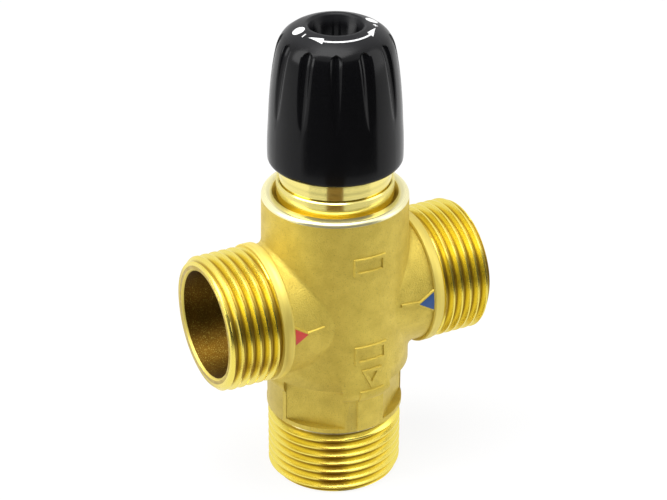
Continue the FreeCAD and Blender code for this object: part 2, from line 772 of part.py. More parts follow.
# --------------------------------------------------------------------------------------
# Shuttle and expansion element
# --------------------------------------------------------------------------------------
def make_shuttle():
    """The slide that opens one seat as it closes the other."""
    body = new_body("shuttle")
    outer = S.guide_radius - S.running_gap
    skirt = outer - S.shuttle_wall
    waist = skirt - S.shuttle_wall / 2.0
    low = S.hot_seat_height + S.seat_gap
    high = S.cold_seat_height - S.seat_gap
    room = S.shuttle_seal_wire * 2.0 + S.fixed_gap
    lip = S.shuttle_lip
    waist_top = S.spider_height + S.spider_thickness + S.spoke_width
    turn(body, [
        (skirt, low),
        (outer - lip, low),
        (outer, low + lip),
        (outer, S.web_height - room * 0.6),
        (outer - room, S.web_height - room * 0.6),
        (outer - room, S.web_height + room * 0.6),
        (outer, S.web_height + room * 0.6),
        (outer, high - lip),
        (outer - lip, high),
        (skirt, high),
        (skirt, waist_top),
        (waist, waist_top),
        (waist, S.spider_height),
        (skirt, S.spider_height),
    ])
    half = S.spoke_width / 2.0
    reach = waist + S.shuttle_wall / 4.0
    spoke = pad(body, lambda sketch: draw_outline(sketch, [
        (reach * -1.0, half * -1.0), (reach, half * -1.0), (reach, half), (reach * -1.0, half),
    ]), S.spider_height, S.spider_thickness)
    polar(body, spoke, 4)
    pad(body, lambda sketch: draw_circle(sketch, 0.0, 0.0, S.hub_radius), S.spider_height,
        S.spider_thickness)
    pad(body, lambda sketch: draw_circle(sketch, 0.0, 0.0, S.element_neck + S.fixed_gap),
        S.spider_height, S.spider_thickness, cut=True, reverse=True)
    return body


def make_shuttle_seal():
    radius = S.guide_radius - S.running_gap - S.shuttle_seal_wire
    return ring("shuttle_seal", radius, S.shuttle_seal_wire, S.web_height)


def make_element_cup():
    """The sealed sensing cup that hangs in the mixed water."""
    body = new_body("element_cup")
    flange_floor = S.spider_height - S.flange_height
    base = S.spider_height - S.flange_height / 2.0
    turn(body, [
        (0.0, S.bulb_floor),
        (S.bulb_radius - S.bulb_round, S.bulb_floor),
        (S.bulb_radius - S.bulb_round * CORNER, S.bulb_floor + S.bulb_round * CORNER,
         S.bulb_radius, S.bulb_floor + S.bulb_round),
        (S.bulb_radius, flange_floor),
        (S.bulb_flange, flange_floor),
        (S.bulb_flange, S.spider_height),
        (S.guide_base, S.spider_height),
        (S.guide_base, base),
        (0.0, base),
    ])
    return body


def make_element_guide():
    """The stem that is crimped into the cup, bored for the pin."""
    body = new_body("element_guide")
    base = S.spider_height - S.flange_height / 2.0
    groove_floor = S.spider_height + S.spider_thickness
    groove_top = groove_floor + S.clip_thickness + S.running_gap
    groove = S.element_neck - S.clip_groove_depth
    bore = S.element_pin_radius + S.running_gap
    turn(body, [
        (0.0, base),
        (S.guide_base - S.fixed_gap, base),
        (S.guide_base - S.fixed_gap, S.spider_height),
        (S.element_neck, S.spider_height),
        (S.element_neck, groove_floor),
        (groove, groove_floor),
        (groove, groove_top),
        (S.element_neck, groove_top),
        (S.element_neck, S.element_neck_top - S.clip_groove_depth),
        (S.element_neck - S.clip_groove_depth, S.element_neck_top),
        (bore, S.element_neck_top),
        (bore, S.pin_bore_floor),
        (0.0, S.pin_bore_floor),
    ])
    return body


def make_element_clip():
    inner = S.element_neck - S.clip_groove_depth + S.fixed_gap
    return open_ring("element_clip", inner, S.hub_radius, S.spider_height + S.spider_thickness)


def make_element_pin():
    body = new_body("element_pin")
    top = S.cup_height + S.cup_flange
    turn(body, [
        (0.0, S.element_pin_foot),
        (S.element_pin_radius - S.small_edge, S.element_pin_foot),
        (S.element_pin_radius, S.element_pin_foot + S.small_edge),
        (S.element_pin_radius, top),
        (0.0, top),
    ])
    return body


# --------------------------------------------------------------------------------------
# Setting mechanism
# --------------------------------------------------------------------------------------
def make_pressure_cup():
    """Carries the pin's head and centres the overtravel spring."""
    body = new_body("pressure_cup")
    socket = S.element_pin_radius + S.fixed_gap
    flange_top = S.cup_height + S.cup_flange
    turn(body, [
        (socket, S.cup_height),
        (S.cup_bore - S.running_gap, S.cup_height),
        (S.cup_bore - S.running_gap, flange_top),
        (S.cup_boss, flange_top),
        (S.cup_boss, flange_top + S.cup_boss_height),
        (0.0, flange_top + S.cup_boss_height),
        (0.0, flange_top),
        (socket, flange_top),
    ])
    return body


def make_adjuster_sleeve():
    """A hexagonal nut that slides in the bonnet as the spindle turns in it."""
    body = new_body("adjuster_sleeve")
    side = S.sleeve_hex - S.running_gap
    pad(body, lambda sketch: draw_polygon(sketch, 6, side), S.sleeve_floor,
        S.sleeve_top - S.sleeve_floor)
    groove = S.cup_bore + S.clip_groove_depth
    groove_floor = S.cup_height - S.clip_thickness - S.running_gap
    nut_floor = S.sleeve_top - S.nut_height
    thread = S.spindle_thread + S.running_gap
    turn(body, [
        (0.0, S.sleeve_floor),
        (S.cup_bore, S.sleeve_floor),
        (S.cup_bore, groove_floor),
        (groove, groove_floor),
        (groove, S.cup_height),
        (S.cup_bore, S.cup_height),
        (S.cup_bore, nut_floor),
        (thread, nut_floor),
        (thread, S.sleeve_top),
        (0.0, S.sleeve_top),
    ], cut=True)
    return body


def make_adjuster_clip():
    outer = S.cup_bore + S.clip_groove_depth - S.fixed_gap
    return open_ring("adjuster_clip", S.cup_bore - S.clip_thickness * 1.1, outer,
                     S.cup_height - S.clip_thickness)


def make_overtravel_spring():
    radius = S.cup_bore - S.overtravel_wire - S.overtravel_gap
    return coil("overtravel_spring", radius, S.overtravel_wire, S.cup_height + S.cup_flange,
                S.sleeve_top - S.nut_height, S.overtravel_turns)


# --------------------------------------------------------------------------------------
# Spindle and knob
# --------------------------------------------------------------------------------------
def seal_heights():
    """Middle of the two O-rings on the spindle, a quarter in from each end of the gland."""
    gland = S.bonnet_top - S.gland_floor
    return S.gland_floor + gland * 0.28, S.gland_floor + gland * 0.72


def spin_placement(feature):
    """Turn a piece to the knob's place at rest."""
    feature.Placement = FreeCAD.Placement(V(0, 0, 0), FreeCAD.Rotation(V(0, 0, 1), 1.0))
    feature.setExpression("Placement.Rotation.Angle", S.knob_phase.text)


def make_spindle():
    body = new_body("spindle")
    collar_top = S.gland_floor - S.washer_thickness
    collar_floor = collar_top - S.thrust_height
    shaft = S.gland_radius - S.running_gap
    room = S.spindle_seal_wire * 2.0 + S.fixed_gap
    edge = S.small_edge
    path = [
        (0.0, S.spindle_foot),
        (S.spindle_thread - edge, S.spindle_foot),
        (S.spindle_thread, S.spindle_foot + edge),
        (S.spindle_thread, collar_floor),
        (S.thrust_radius, collar_floor),
        (S.thrust_radius, collar_top),
        (shaft, collar_top),
    ]
    for height in seal_heights():
        path += [
            (shaft, height - room * 0.6),
            (shaft - room, height - room * 0.6),
            (shaft - room, height + room * 0.6),
            (shaft, height + room * 0.6),
        ]
    clip_floor = S.bonnet_top + S.running_gap
    clip_top = clip_floor + S.clip_thickness + S.running_gap
    path += [
        (shaft, clip_floor),
        (shaft - S.clip_groove_depth, clip_floor),
        (shaft - S.clip_groove_depth, clip_top),
        (shaft, clip_top),
        (shaft, S.spindle_shoulder),
        (S.spline_radius, S.spindle_shoulder),
        (S.spline_radius, S.spindle_head - edge),
        (S.spline_radius - edge, S.spindle_head),
        (0.0, S.spindle_head),
    ]
    turn(body, path)
    reach = S.spline_radius * 1.5

    def beside_flat(sketch):
        draw_outline(sketch, [
            (S.spline_flat, reach * -1.0), (reach, reach * -1.0), (reach, reach),
            (S.spline_flat, reach),
        ])

    flat = pad(body, beside_flat, S.spindle_shoulder, S.spindle_head - S.spindle_shoulder,
               cut=True, reverse=True)
    polar(body, flat, 2)
    hole_floor = S.spindle_head - S.screw_length - edge
    pad(body, lambda sketch: draw_circle(sketch, 0.0, 0.0, S.screw_radius + S.fixed_gap),
        hole_floor, S.spindle_head - hole_floor, cut=True, reverse=True)
    spin_placement(body)
    return body


def make_spindle_seals():
    radius = S.gland_radius - S.running_gap - S.spindle_seal_wire
    lower, upper = seal_heights()
    return [ring("spindle_seal_lower", radius, S.spindle_seal_wire, lower),
            ring("spindle_seal_upper", radius, S.spindle_seal_wire, upper)]


def make_thrust_washer():
    return tube("thrust_washer", S.gland_radius, S.thrust_radius + S.fixed_gap,
                S.gland_floor - S.washer_thickness, S.gland_floor)


def make_spindle_clip():
    inner = S.gland_radius - S.running_gap - S.clip_groove_depth + S.fixed_gap
    return open_ring("spindle_clip", inner, S.gland_radius + S.clip_reach,
                     S.bonnet_top + S.running_gap)


def knob_web_floor():
    return S.spindle_head + S.running_gap


def make_knob():
    body = new_body("knob")
    edge = S.knob_edge
    web_floor = knob_web_floor()
    web_top = web_floor + S.knob_web
    height = S.knob_top - S.knob_floor
    shoulder_radius = S.knob_radius - S.knob_taper
    shoulder = S.knob_top - S.knob_shoulder
    ring_radius = S.knob_hole + S.knob_wall
    turn(body, [
        (0.0, S.knob_floor),
        (S.knob_radius - edge, S.knob_floor),
        (S.knob_radius - edge * CORNER, S.knob_floor + edge * CORNER,
         S.knob_radius, S.knob_floor + edge),
        (S.knob_radius - S.knob_taper * 0.14, S.knob_floor + height * 0.36,
         S.knob_radius - S.knob_taper * 0.46, S.knob_floor + height * 0.66),
        (S.knob_radius - S.knob_taper * 0.7, S.knob_top - S.knob_shoulder * 1.7,
         shoulder_radius, shoulder),
        (shoulder_radius - S.knob_shoulder * 0.35, S.knob_top - S.knob_shoulder * 0.47,
         ring_radius + S.knob_shoulder * 0.1, S.knob_top - S.knob_shoulder * 0.08),
        (S.knob_hole + S.hole_edge, S.knob_top),
        (S.knob_hole, S.knob_top - S.hole_edge),
        (S.knob_hole, web_top),
        (0.0, web_top),
    ])

    cone = body.newObject("PartDesign::SubtractiveCone", "flute")
    cone.AttachmentSupport = [(origin_part(body, "XY_Plane"), "")]
    cone.MapMode = "FlatFace"
    rise = shoulder - S.flute_foot
    foot_radius = S.knob_radius - S.knob_taper * 0.2 + S.flute_tip
    head_radius = shoulder_radius - S.flute_depth + S.flute_width
    lean = foot_radius - head_radius
    cone.setExpression("Radius1", S.flute_tip.text)
    cone.setExpression("Radius2", S.flute_width.text)
    cone.setExpression("Height", "%s * 1 mm / cos(atan(%s))" % (rise.text, (lean / rise).text))
    cone.AttachmentOffset = FreeCAD.Placement(V(0, 0, 0), FreeCAD.Rotation(V(0, -1, 0), 5.0))
    cone.setExpression("AttachmentOffset.Base.x", foot_radius.text)
    cone.setExpression("AttachmentOffset.Base.z", S.flute_foot.text)
    cone.setExpression("AttachmentOffset.Rotation.Angle", "atan(%s)" % (lean / rise).text)
    polar(body, cone, S.flute_count)

    hub_floor = S.spindle_shoulder + S.running_gap
    skirt = S.knob_radius - S.knob_wall
    roof = S.knob_top - S.knob_wall * 1.4
    turn(body, [
        (0.0, S.knob_floor),
        (skirt, S.knob_floor),
        (skirt - S.knob_taper * 0.14, S.knob_floor + height * 0.36,
         skirt - S.knob_taper * 0.52, S.knob_floor + height * 0.66),
        (shoulder_radius - S.knob_wall, shoulder - S.knob_wall * 0.6),
        (ring_radius + S.knob_wall * 0.6, roof),
        (ring_radius, roof),
        (ring_radius, web_floor),
        (S.knob_hub, web_floor - S.knob_wall),
        (S.knob_hub, hub_floor),
        (0.0, hub_floor),
    ], cut=True)

    half = S.rib_thickness / 2.0
    rib_floor = hub_floor + S.knob_wall
    rib_end = skirt - S.knob_taper * 0.5 + S.knob_wall * 0.4
    rib = pad(body, lambda sketch: draw_outline(sketch, [
        (S.knob_hub - S.rib_thickness, half * -1.0), (rib_end, half * -1.0), (rib_end, half),
        (S.knob_hub - S.rib_thickness, half),
    ]), rib_floor, S.knob_floor + height * 0.66 - rib_floor)
    polar(body, rib, S.rib_count)

    socket = S.spline_radius + S.fixed_gap
    flat = S.spline_flat + S.fixed_gap
    corner = Size(math.sqrt(socket.value ** 2 - flat.value ** 2),
                  "sqrt(%s ^ 2 - %s ^ 2)" % (socket.text, flat.text))

    def draw_socket(sketch):
        draw_outline(sketch, [
            (flat, corner),
            (0.0, socket, flat * -1.0, corner),
            (flat * -1.0, corner * -1.0),
            (0.0, socket * -1.0, flat, corner * -1.0),
        ])

    pad(body, draw_socket, hub_floor, web_floor - hub_floor, cut=True, reverse=True)
    pad(body, lambda sketch: draw_circle(sketch, 0.0, 0.0, S.screw_radius + S.running_gap),
        web_floor, S.knob_web, cut=True, reverse=True)
    spin_placement(body)
    return body


def make_knob_screw():
    """Cap screw with a hexagonal socket, its thread as a plain shank."""
    body = new_body("knob_screw")
    seat = knob_web_floor() + S.knob_web + S.washer_thickness
    edge = S.small_edge
    turn(body, [
        (0.0, S.spindle_head - S.screw_length),
        (S.screw_radius - edge, S.spindle_head - S.screw_length),
        (S.screw_radius, S.spindle_head - S.screw_length + edge),
        (S.screw_radius, seat),
        (S.screw_head_radius, seat),
        (S.screw_head_radius, seat + S.screw_head_height - edge),
        (S.screw_head_radius - edge, seat + S.screw_head_height),
        (0.0, seat + S.screw_head_height),
    ])
    depth = S.screw_head_height * 0.6
    pad(body, lambda sketch: draw_polygon(sketch, 6, S.screw_radius * 0.75),
        seat + S.screw_head_height - depth, depth, cut=True, reverse=True)
    return body


def make_knob_washer():
    floor = knob_web_floor() + S.knob_web
    return tube("knob_washer", S.screw_radius + S.running_gap, S.screw_head_radius * 1.25,
                floor, floor + S.washer_thickness)


# --------------------------------------------------------------------------------------
# Build, check and write
# --------------------------------------------------------------------------------------
def make_all():
    pieces = [
        make_valve_body(), make_bonnet(), make_bonnet_seal(), make_hot_seat(),
        make_spring_guide(), make_outlet_clip(), make_return_spring(),
        make_shuttle(), make_shuttle_seal(), make_element_cup(), make_element_guide(),
        make_element_clip(), make_element_pin(),
        make_pressure_cup(), make_adjuster_sleeve(), make_adjuster_clip(),
        make_overtravel_spring(),
        make_spindle(), make_thrust_washer(), make_spindle_clip(),
        make_knob(), make_knob_screw(), make_knob_washer(),
    ]
    return pieces + make_spindle_seals()


def check(pieces):
    """Stop if any feature failed or any piece isn't a sound solid."""
    for feature in DOC.Objects:
        if "Invalid" in feature.State or "Error" in feature.State:
            raise RuntimeError("feature failed: " + feature.Name)
    for piece in pieces:
        shape = piece.Shape
        if shape.isNull() or not shape.isValid() or shape.Volume <= 0:
            raise RuntimeError("bad solid: " + piece.Label)


def write(pieces):
    os.makedirs("parts", exist_ok=True)
    for piece in pieces:
        piece.Shape.exportStep("parts/%s.step" % piece.Label)
        print("%-24s %2d solid %10.1f mm3" % (piece.Label, len(piece.Shape.Solids),
                                              piece.Shape.Volume))


PIECES = make_all()
DOC.recompute()
check(PIECES)
write(PIECES)
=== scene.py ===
"""Finishes of a three-port mixing valve, built around its packed model.

Metres. The frame is the model's own: the origin is the centre of the outlet's end face, +Z runs
up the spindle, the hot inlet is on -X, the cold inlet on +X and the marked front faces -Y.
"""
import json
import math

import bmesh
import bpy
from mathutils import Matrix, Vector
from mathutils.bvhtree import BVHTree


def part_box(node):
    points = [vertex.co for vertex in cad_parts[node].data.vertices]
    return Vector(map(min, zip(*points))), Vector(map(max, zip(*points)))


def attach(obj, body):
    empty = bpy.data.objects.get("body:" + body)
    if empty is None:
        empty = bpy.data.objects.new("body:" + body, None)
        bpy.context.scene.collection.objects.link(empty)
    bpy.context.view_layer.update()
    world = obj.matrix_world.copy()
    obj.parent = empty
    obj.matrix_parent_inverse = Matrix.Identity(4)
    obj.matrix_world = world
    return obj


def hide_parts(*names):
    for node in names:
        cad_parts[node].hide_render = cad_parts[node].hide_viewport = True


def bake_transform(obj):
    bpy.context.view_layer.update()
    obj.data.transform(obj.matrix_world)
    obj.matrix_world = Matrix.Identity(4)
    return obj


bl_info = {
    "name": "Mixing valve finishes",
    "version": (1, 0, 0),
    "blender": (4, 5, 0),
    "location": "3D View > Sidebar > Valve",
    "description": "Pipe threads, cast marks, knob print and finishes of a mixing valve",
    "category": "Object",
}

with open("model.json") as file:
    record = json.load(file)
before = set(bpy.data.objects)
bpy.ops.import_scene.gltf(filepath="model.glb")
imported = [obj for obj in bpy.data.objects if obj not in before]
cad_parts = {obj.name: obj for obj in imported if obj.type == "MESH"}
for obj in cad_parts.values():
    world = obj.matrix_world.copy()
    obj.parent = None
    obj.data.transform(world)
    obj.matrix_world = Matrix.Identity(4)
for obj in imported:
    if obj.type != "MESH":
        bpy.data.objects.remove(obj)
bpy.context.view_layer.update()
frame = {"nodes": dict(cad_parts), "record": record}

MM = 0.001
UP = Vector((0.0, 0.0, 1.0))

# ---- Places read from the packed model ----
MOUNTS = {mount["name"]: mount for mount in frame["record"]["mounts"]}
THREAD_RADIUS = MOUNTS["hot_inlet"]["dims"]["r_mm"] * MM
PORT_HEIGHT = MOUNTS["hot_inlet"]["pos_m"][2]
BODY_HIGH = Vector(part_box("valve_body")[1])
KNOB_LOW, KNOB_HIGH = (Vector(corner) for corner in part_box("knob"))
PORT_REACH = BODY_HIGH.x
RIM_HEIGHT = BODY_HIGH.z
KNOB_RADIUS = KNOB_HIGH.x

# The knob's outline: share of its height against share of its radius
KNOB_OUTLINE = ((0.0, 0.944), (0.012, 0.980), (0.03, 1.0), (0.2, 0.996), (0.31, 0.982),
                (0.43, 0.969), (0.54, 0.951), (0.66, 0.923), (0.72, 0.904), (0.78, 0.882),
                (0.835, 0.856), (0.865, 0.834), (0.89, 0.808), (0.915, 0.773), (0.94, 0.717),
                (0.962, 0.643), (0.98, 0.563), (0.992, 0.488), (1.0, 0.42))
KNOB_EDGE_LEVELS = [part * MM for part in (0.0, 0.12, 0.3, 0.55, 0.85, 1.4, 3.5, 7.0, 10.5)]


def knob_profile(level):
    """Radius of the knob's outline at a height, along a smooth curve through its shares."""
    share = (level - KNOB_LOW.z) / (KNOB_HIGH.z - KNOB_LOW.z)
    share = min(max(share, 0.0), 1.0)
    last = len(KNOB_OUTLINE) - 2
    k = next((k for k in range(last + 1) if share <= KNOB_OUTLINE[k + 1][0]), last)
    (x1, y1), (x2, y2) = KNOB_OUTLINE[k], KNOB_OUTLINE[k + 1]
    x0, y0 = KNOB_OUTLINE[max(k - 1, 0)]
    x3, y3 = KNOB_OUTLINE[min(k + 2, last + 1)]
    slope_in = (y2 - y0) / (x2 - x0)
    slope_out = (y3 - y1) / (x3 - x1)
    part = (share - x1) / (x2 - x1)
    step = x2 - x1
    radius = ((2 * part ** 3 - 3 * part ** 2 + 1) * y1
              + (part ** 3 - 2 * part ** 2 + part) * step * slope_in
              + (3 * part ** 2 - 2 * part ** 3) * y2
              + (part ** 3 - part ** 2) * step * slope_out)
    return radius * KNOB_RADIUS


# ---- Sizes and colours that a user would change ----
def number(name, description, value, **rules):
    return bpy.props.FloatProperty(name=name, description=description, default=value, **rules)


def length(name, description, millimetres):
    return number(name, description, millimetres * MM, precision=5, unit="LENGTH",
                  subtype="DISTANCE")


def angle(name, description, degrees):
    return number(name, description, math.radians(degrees), unit="ROTATION", subtype="ANGLE")


def factor(name, description, value):
    return number(name, description, value, min=0.0, max=1.0, subtype="FACTOR")


def count(name, description, value):
    return bpy.props.IntProperty(name=name, description=description, default=value, min=3)


def colour(name, description, value):
    return bpy.props.FloatVectorProperty(
        name=name, description=description, default=value, size=3, min=0.0, max=1.0,
        subtype="COLOR")


class ThreadSettings(bpy.types.PropertyGroup):
    """Pipe threads of the three ports."""

    pitch: length("Pitch", "Rise of the thread in one turn", 2.309)
    depth: length("Depth", "Height of the thread's crest over its root", 1.35)
    core: length("Core", "Radius at which a thread joins the casting", 14.6)
    face_chamfer: length("Face chamfer", "Chamfer at the port's face", 1.1)
    run_out: length("Run-out", "Chamfer at the inner end of an inlet's thread", 0.7)
    outlet_run_out: length("Outlet run-out", "Chamfer at the upper end of the outlet's thread",
                           1.1)
    inlet_length: length("Inlet length", "Length of each inlet's thread", 13.4)
    outlet_length: length("Outlet length", "Length of the outlet's thread", 17.0)
    hot_start: angle("Hot start", "Where the hot inlet's thread starts", 200.0)
    cold_start: angle("Cold start", "Where the cold inlet's thread starts", 20.0)
    outlet_start: angle("Outlet start", "Where the outlet's thread starts", 90.0)
    segments: count("Segments", "Sides of a thread in one turn", 128)
    steps: count("Steps", "Rows of a thread in one pitch", 12)


class BrassSettings(bpy.types.PropertyGroup):
    """Colours and grain of the brass."""

    cast_light: colour("Cast light", "Lighter tone of the blasted casting", (0.68, 0.53, 0.088))
    cast_dark: colour("Cast dark", "Darker tone of the blasted casting", (0.565, 0.43, 0.064))
    turned: colour("Turned", "Freshly cut brass", (0.92, 0.80, 0.26))
    # the rim's tone is partly faced brass and partly a painted highlight, paler than the turned
    # brass
    rim: colour("Rim", "Brass of the faced rim", (0.95, 0.89, 0.52))
    # dull brass on the ports' faces; the same darker tone in the recess is painted shade
    dull_and_shade: colour("Dull", "Brass of the ports' faces and the recess", (0.58, 0.43, 0.085))
    collar: colour("Collar", "Brass of the ring behind an inlet's thread", (0.80, 0.65, 0.14))
    crest: colour("Thread crest", "Brass of a thread's crest", (0.88, 0.73, 0.14))
    # the root tone is painted shade: darker brass where a thread's valleys lie in shade
    root: colour("Thread root", "Brass between two crests", (0.50, 0.36, 0.06))
    # the bore's near-black tone is painted shade inside the ports and the body
    bore: colour("Bore", "Brass inside a port", (0.105, 0.052, 0.006))
    grain: length("Grain", "Size of the blasted grain", 0.34)


class MarkSettings(bpy.types.PropertyGroup):
    """Raised and painted marks of the casting."""

    height: length("Height", "Height of a raised mark", 0.42)
    draft: length("Draft", "How much wider a raised mark is at its foot", 0.22)
    paint: length("Paint", "Height of the paint over its mark", 0.03)
    hot: colour("Hot", "Paint of the hot mark", (0.56, 0.035, 0.02))
    cold: colour("Cold", "Paint of the cold mark", (0.012, 0.07, 0.24))


class KnobSettings(bpy.types.PropertyGroup):
    """Moulding and print of the setting knob."""

    plastic: colour("Plastic", "Colour of the moulding", (0.0035, 0.0035, 0.0040))
    flutes: count("Flutes", "Flutes round the knob", 12)
    flute_start: angle("Flute start", "Direction of the first flute", -87.0)
    flute_foot: length("Flute foot", "Lower end of a flute above the knob's lower edge", 13.6)
    flute_end: length("Flute end", "Upper end of a flute above the knob's lower edge", 32.1)
    flute_width: length("Flute width", "Half width of a flute at its upper end", 1.45)
    flute_depth: length("Flute depth", "Depth of a flute at its upper end", 0.95)
    print_colour: colour("Print", "Colour of the print", (0.85, 0.85, 0.85))
    print_height: length("Print height", "Thickness of the print", 0.03)
    print_radius: length("Print radius", "Radius of the printed arc", 9.1)
    print_middle: angle("Print middle", "Direction of the middle of the arc", -97.0)
    print_reach: angle("Print reach", "Half angle of the printed arc", 64.0)


class StageSettings(bpy.types.PropertyGroup):
    """Camera, floor and lamps."""

    azimuth: angle("Azimuth", "Camera's turn to the left of the front", 27.38)
    distance: length("Distance", "Camera to spindle, seen from above", 472.9)
    height: length("Height", "Camera above the floor", 321.8)
    pitch: angle("Pitch", "How far the camera looks down", 28.94)
    roll: angle("Roll", "Camera's roll", 0.29)
    side: angle("Side", "Camera's turn off the spindle", 0.039)
    lens: number("Lens", "Focal length", 120.1, unit="CAMERA")
    floor: colour("Floor", "Colour of the floor", (0.95, 0.95, 0.95))
    floor_glow: factor("Floor glow", "Share of the floor's white that no shadow darkens", 0.88)
    sky_level: factor("Sky", "Strength of the sky where it lights the object", 0.35)
    left_level: number("Left box", "Radiance of the left softbox", 4.2)
    right_level: number("Right box", "Radiance of the right softbox", 1.6)
    top_level: number("Top box", "Radiance of the top softbox", 5.6)
    flag_start: length("Flag start", "Where the dark floor starts before the object", 180.0)
    flag_height: length("Flag height", "Height of the dark screen", 700.0)
    flag_left: angle("Flag left", "Reach of the dark screen to the left", 52.0)
    flag_right: angle("Flag right", "Reach of the dark screen to the right", 72.0)
    strip_reach: angle("Strip reach", "Half angle of the dark strip before the object", 16.0)


# ---- Node trees ----
class Number:
    """A socket or constant that arithmetic is written on; each step is one Math node."""

    def __init__(self, build, value):
        self.build, self.value = build, value

    def of(self, operation, *others):
        return self.build.math(operation, self, *others)

    def __add__(self, other):
        return self.of("ADD", other)

    def __sub__(self, other):
        return self.of("SUBTRACT", other)

    def __rsub__(self, other):
        return self.build.math("SUBTRACT", other, self)

    def __mul__(self, other):
        return self.of("MULTIPLY", other)

    def __truediv__(self, other):
        return self.of("DIVIDE", other)

    def __rtruediv__(self, other):
        return self.build.math("DIVIDE", other, self)

    def held(self, low, high):
        return self.of("MAXIMUM", low).of("MINIMUM", high)


class Tree:
    """Adds nodes to a tree and fills their inputs with values or links."""

    def __init__(self, tree):
        self.tree = tree

    def add(self, kind, *values, **settings):
        """A new node; settings are its own properties, values go to its inputs in order."""
        node = self.tree.nodes.new(kind)
        for name, value in settings.items():
            setattr(node, name, value)
        for socket, value in zip(node.inputs, values):
            self.put(socket, value)
        return node

    def put(self, socket, value):
        """Link a socket or set its value."""
        if isinstance(value, Number):
            value = value.value
        if isinstance(value, bpy.types.NodeSocket):
            self.tree.links.new(value, socket)
        else:
            socket.default_value = value

    def fill(self, node, **inputs):
        """Fill inputs by name, with spaces written as underscores."""
        for name, value in inputs.items():
            self.put(node.inputs[name.replace("_", " ")], value)
        return node

    def numbers(self, sockets):
        """Sockets by name, ready for arithmetic."""
        return {socket.name: Number(self, socket) for socket in sockets}

    def math(self, operation, *values):
        node = self.add("ShaderNodeMath", *values, operation=operation)
        return Number(self, node.outputs[0])

    def ramp(self, value, low, high, start=0.0, end=1.0, smooth=False):
        """Map value from low..high to start..end, held at both ends."""
        kind = "SMOOTHSTEP" if smooth else "LINEAR"
        node = self.add("ShaderNodeMapRange", value, low, high, start, end,
                        interpolation_type=kind)
        return Number(self, node.outputs["Result"])

    def noise(self, vector, scale, detail, roughness):
        node = self.fill(self.add("ShaderNodeTexNoise"), Vector=vector, Scale=scale,
                         Detail=detail, Roughness=roughness)
        return Number(self, node.outputs["Fac"])

    def mix(self, mask, first, second):
        """Mix two colours."""
        node = self.fill(self.add("ShaderNodeMix", data_type="RGBA"), Factor=mask)
        colours = [socket for socket in node.inputs if socket.type == "RGBA"]
        for socket, value in zip(colours, (first, second)):
            self.put(socket, value if isinstance(value, bpy.types.NodeSocket)
                     else (*value, 1.0))
        return next(socket for socket in node.outputs if socket.type == "RGBA")


def new_group(name, inputs, outputs, kind="ShaderNodeTree"):
    """A node group with named sockets; returns its builder, its inputs and its output node."""
    tree = bpy.data.node_groups.new(name, kind)
    for direction, sockets in (("INPUT", inputs), ("OUTPUT", outputs)):
        for label, form, *default in sockets:
            socket = tree.interface.new_socket(name=label, in_out=direction,
                                               socket_type="NodeSocket" + form)
            if default:
                socket.default_value = default[0]
    build = Tree(tree)
    entry = build.numbers(build.add("NodeGroupInput").outputs)
    return build, entry, build.add("NodeGroupOutput")


# ---- Shader groups ----
def make_grain_group():
    """Blasted or moulded grain: a fine height and a coarse mottle."""
    build, entry, out = new_group(
        "surface grain",
        [("Vector", "Vector"), ("Size", "Float", 0.3 * MM), ("Mottle", "Float", 12.0)],
        [("Height", "Float"), ("Mottle", "Float"), ("Speck", "Float")])
    scale = 1.0 / entry["Size"]
    fine = build.noise(entry["Vector"], scale, 3.0, 0.65)
    coarse = build.noise(entry["Vector"], scale / entry["Mottle"], 4.0, 0.6)
    pits = build.fill(build.add("ShaderNodeTexVoronoi"), Vector=entry["Vector"], Scale=scale)
    depth = Number(build, pits.outputs["Distance"])
    build.fill(out, Height=fine + depth * 0.5, Mottle=build.ramp(coarse, 0.32, 0.68),
               Speck=build.ramp(fine, 0.56, 0.72))


def make_turning_group():
    """Fine rings that a cutting tool leaves; the vector's Z runs along the turned axis."""
    build, entry, out = new_group(
        "turning marks", [("Vector", "Vector"), ("Feed", "Float", 0.12 * MM)],
        [("Height", "Float"), ("Band", "Float")])
    parts = build.add("ShaderNodeSeparateXYZ", entry["Vector"]).outputs
    flat = build.add("ShaderNodeCombineXYZ", parts["X"], parts["Y"], 0.0).outputs[0]
    radius = build.add("ShaderNodeVectorMath", flat, operation="LENGTH").outputs["Value"]
    along = build.add("ShaderNodeCombineXYZ", radius, 0.0, parts["Z"]).outputs[0]
    scale = 1.0 / entry["Feed"]
    bands = build.noise(along, scale * 0.09, 2.0, 0.5)
    build.fill(out, Height=build.noise(along, scale, 2.0, 0.6),
               Band=build.ramp(bands, 0.35, 0.65))


# ---- Materials ----
class Finish:
    """A material with one Principled BSDF, and the nodes that feed it."""

    def __init__(self, name, **plain):
        self.material = bpy.data.materials.new(name)
        self.material.use_nodes = True
        self.build = Tree(self.material.node_tree)
        self.shader = self.material.node_tree.nodes["Principled BSDF"]
        self.place = self.build.add("ShaderNodeTexCoord").outputs["Object"]
        self.build.fill(self.shader, **plain)

    def group(self, name, **inputs):
        node = self.build.add("ShaderNodeGroup", node_tree=bpy.data.node_groups[name])
        return self.build.numbers(self.build.fill(node, **inputs).outputs)

    def grain(self, size):
        return self.group("surface grain", Vector=self.place, Size=size)

    def turning(self, axis):
        """Turning marks round Z, or round the inlets' axis X."""
        place = self.place
        if axis == "X":
            place = self.build.add("ShaderNodeMapping", place, (PORT_HEIGHT, 0.0, 0.0),
                                   (0.0, math.radians(-90.0), 0.0)).outputs[0]
        return self.group("turning marks", Vector=place)

    def bump(self, height, strength, distance):
        node = self.build.add("ShaderNodeBump")
        self.build.fill(node, Height=height, Strength=strength, Distance=distance)
        return node.outputs["Normal"]

    def wear(self, tone, roughness, normal):
        self.build.fill(self.shader, Base_Color=tone, Roughness=roughness, Normal=normal)
        return self.material


def scaled(tone, share):
    return [part * share for part in tone]


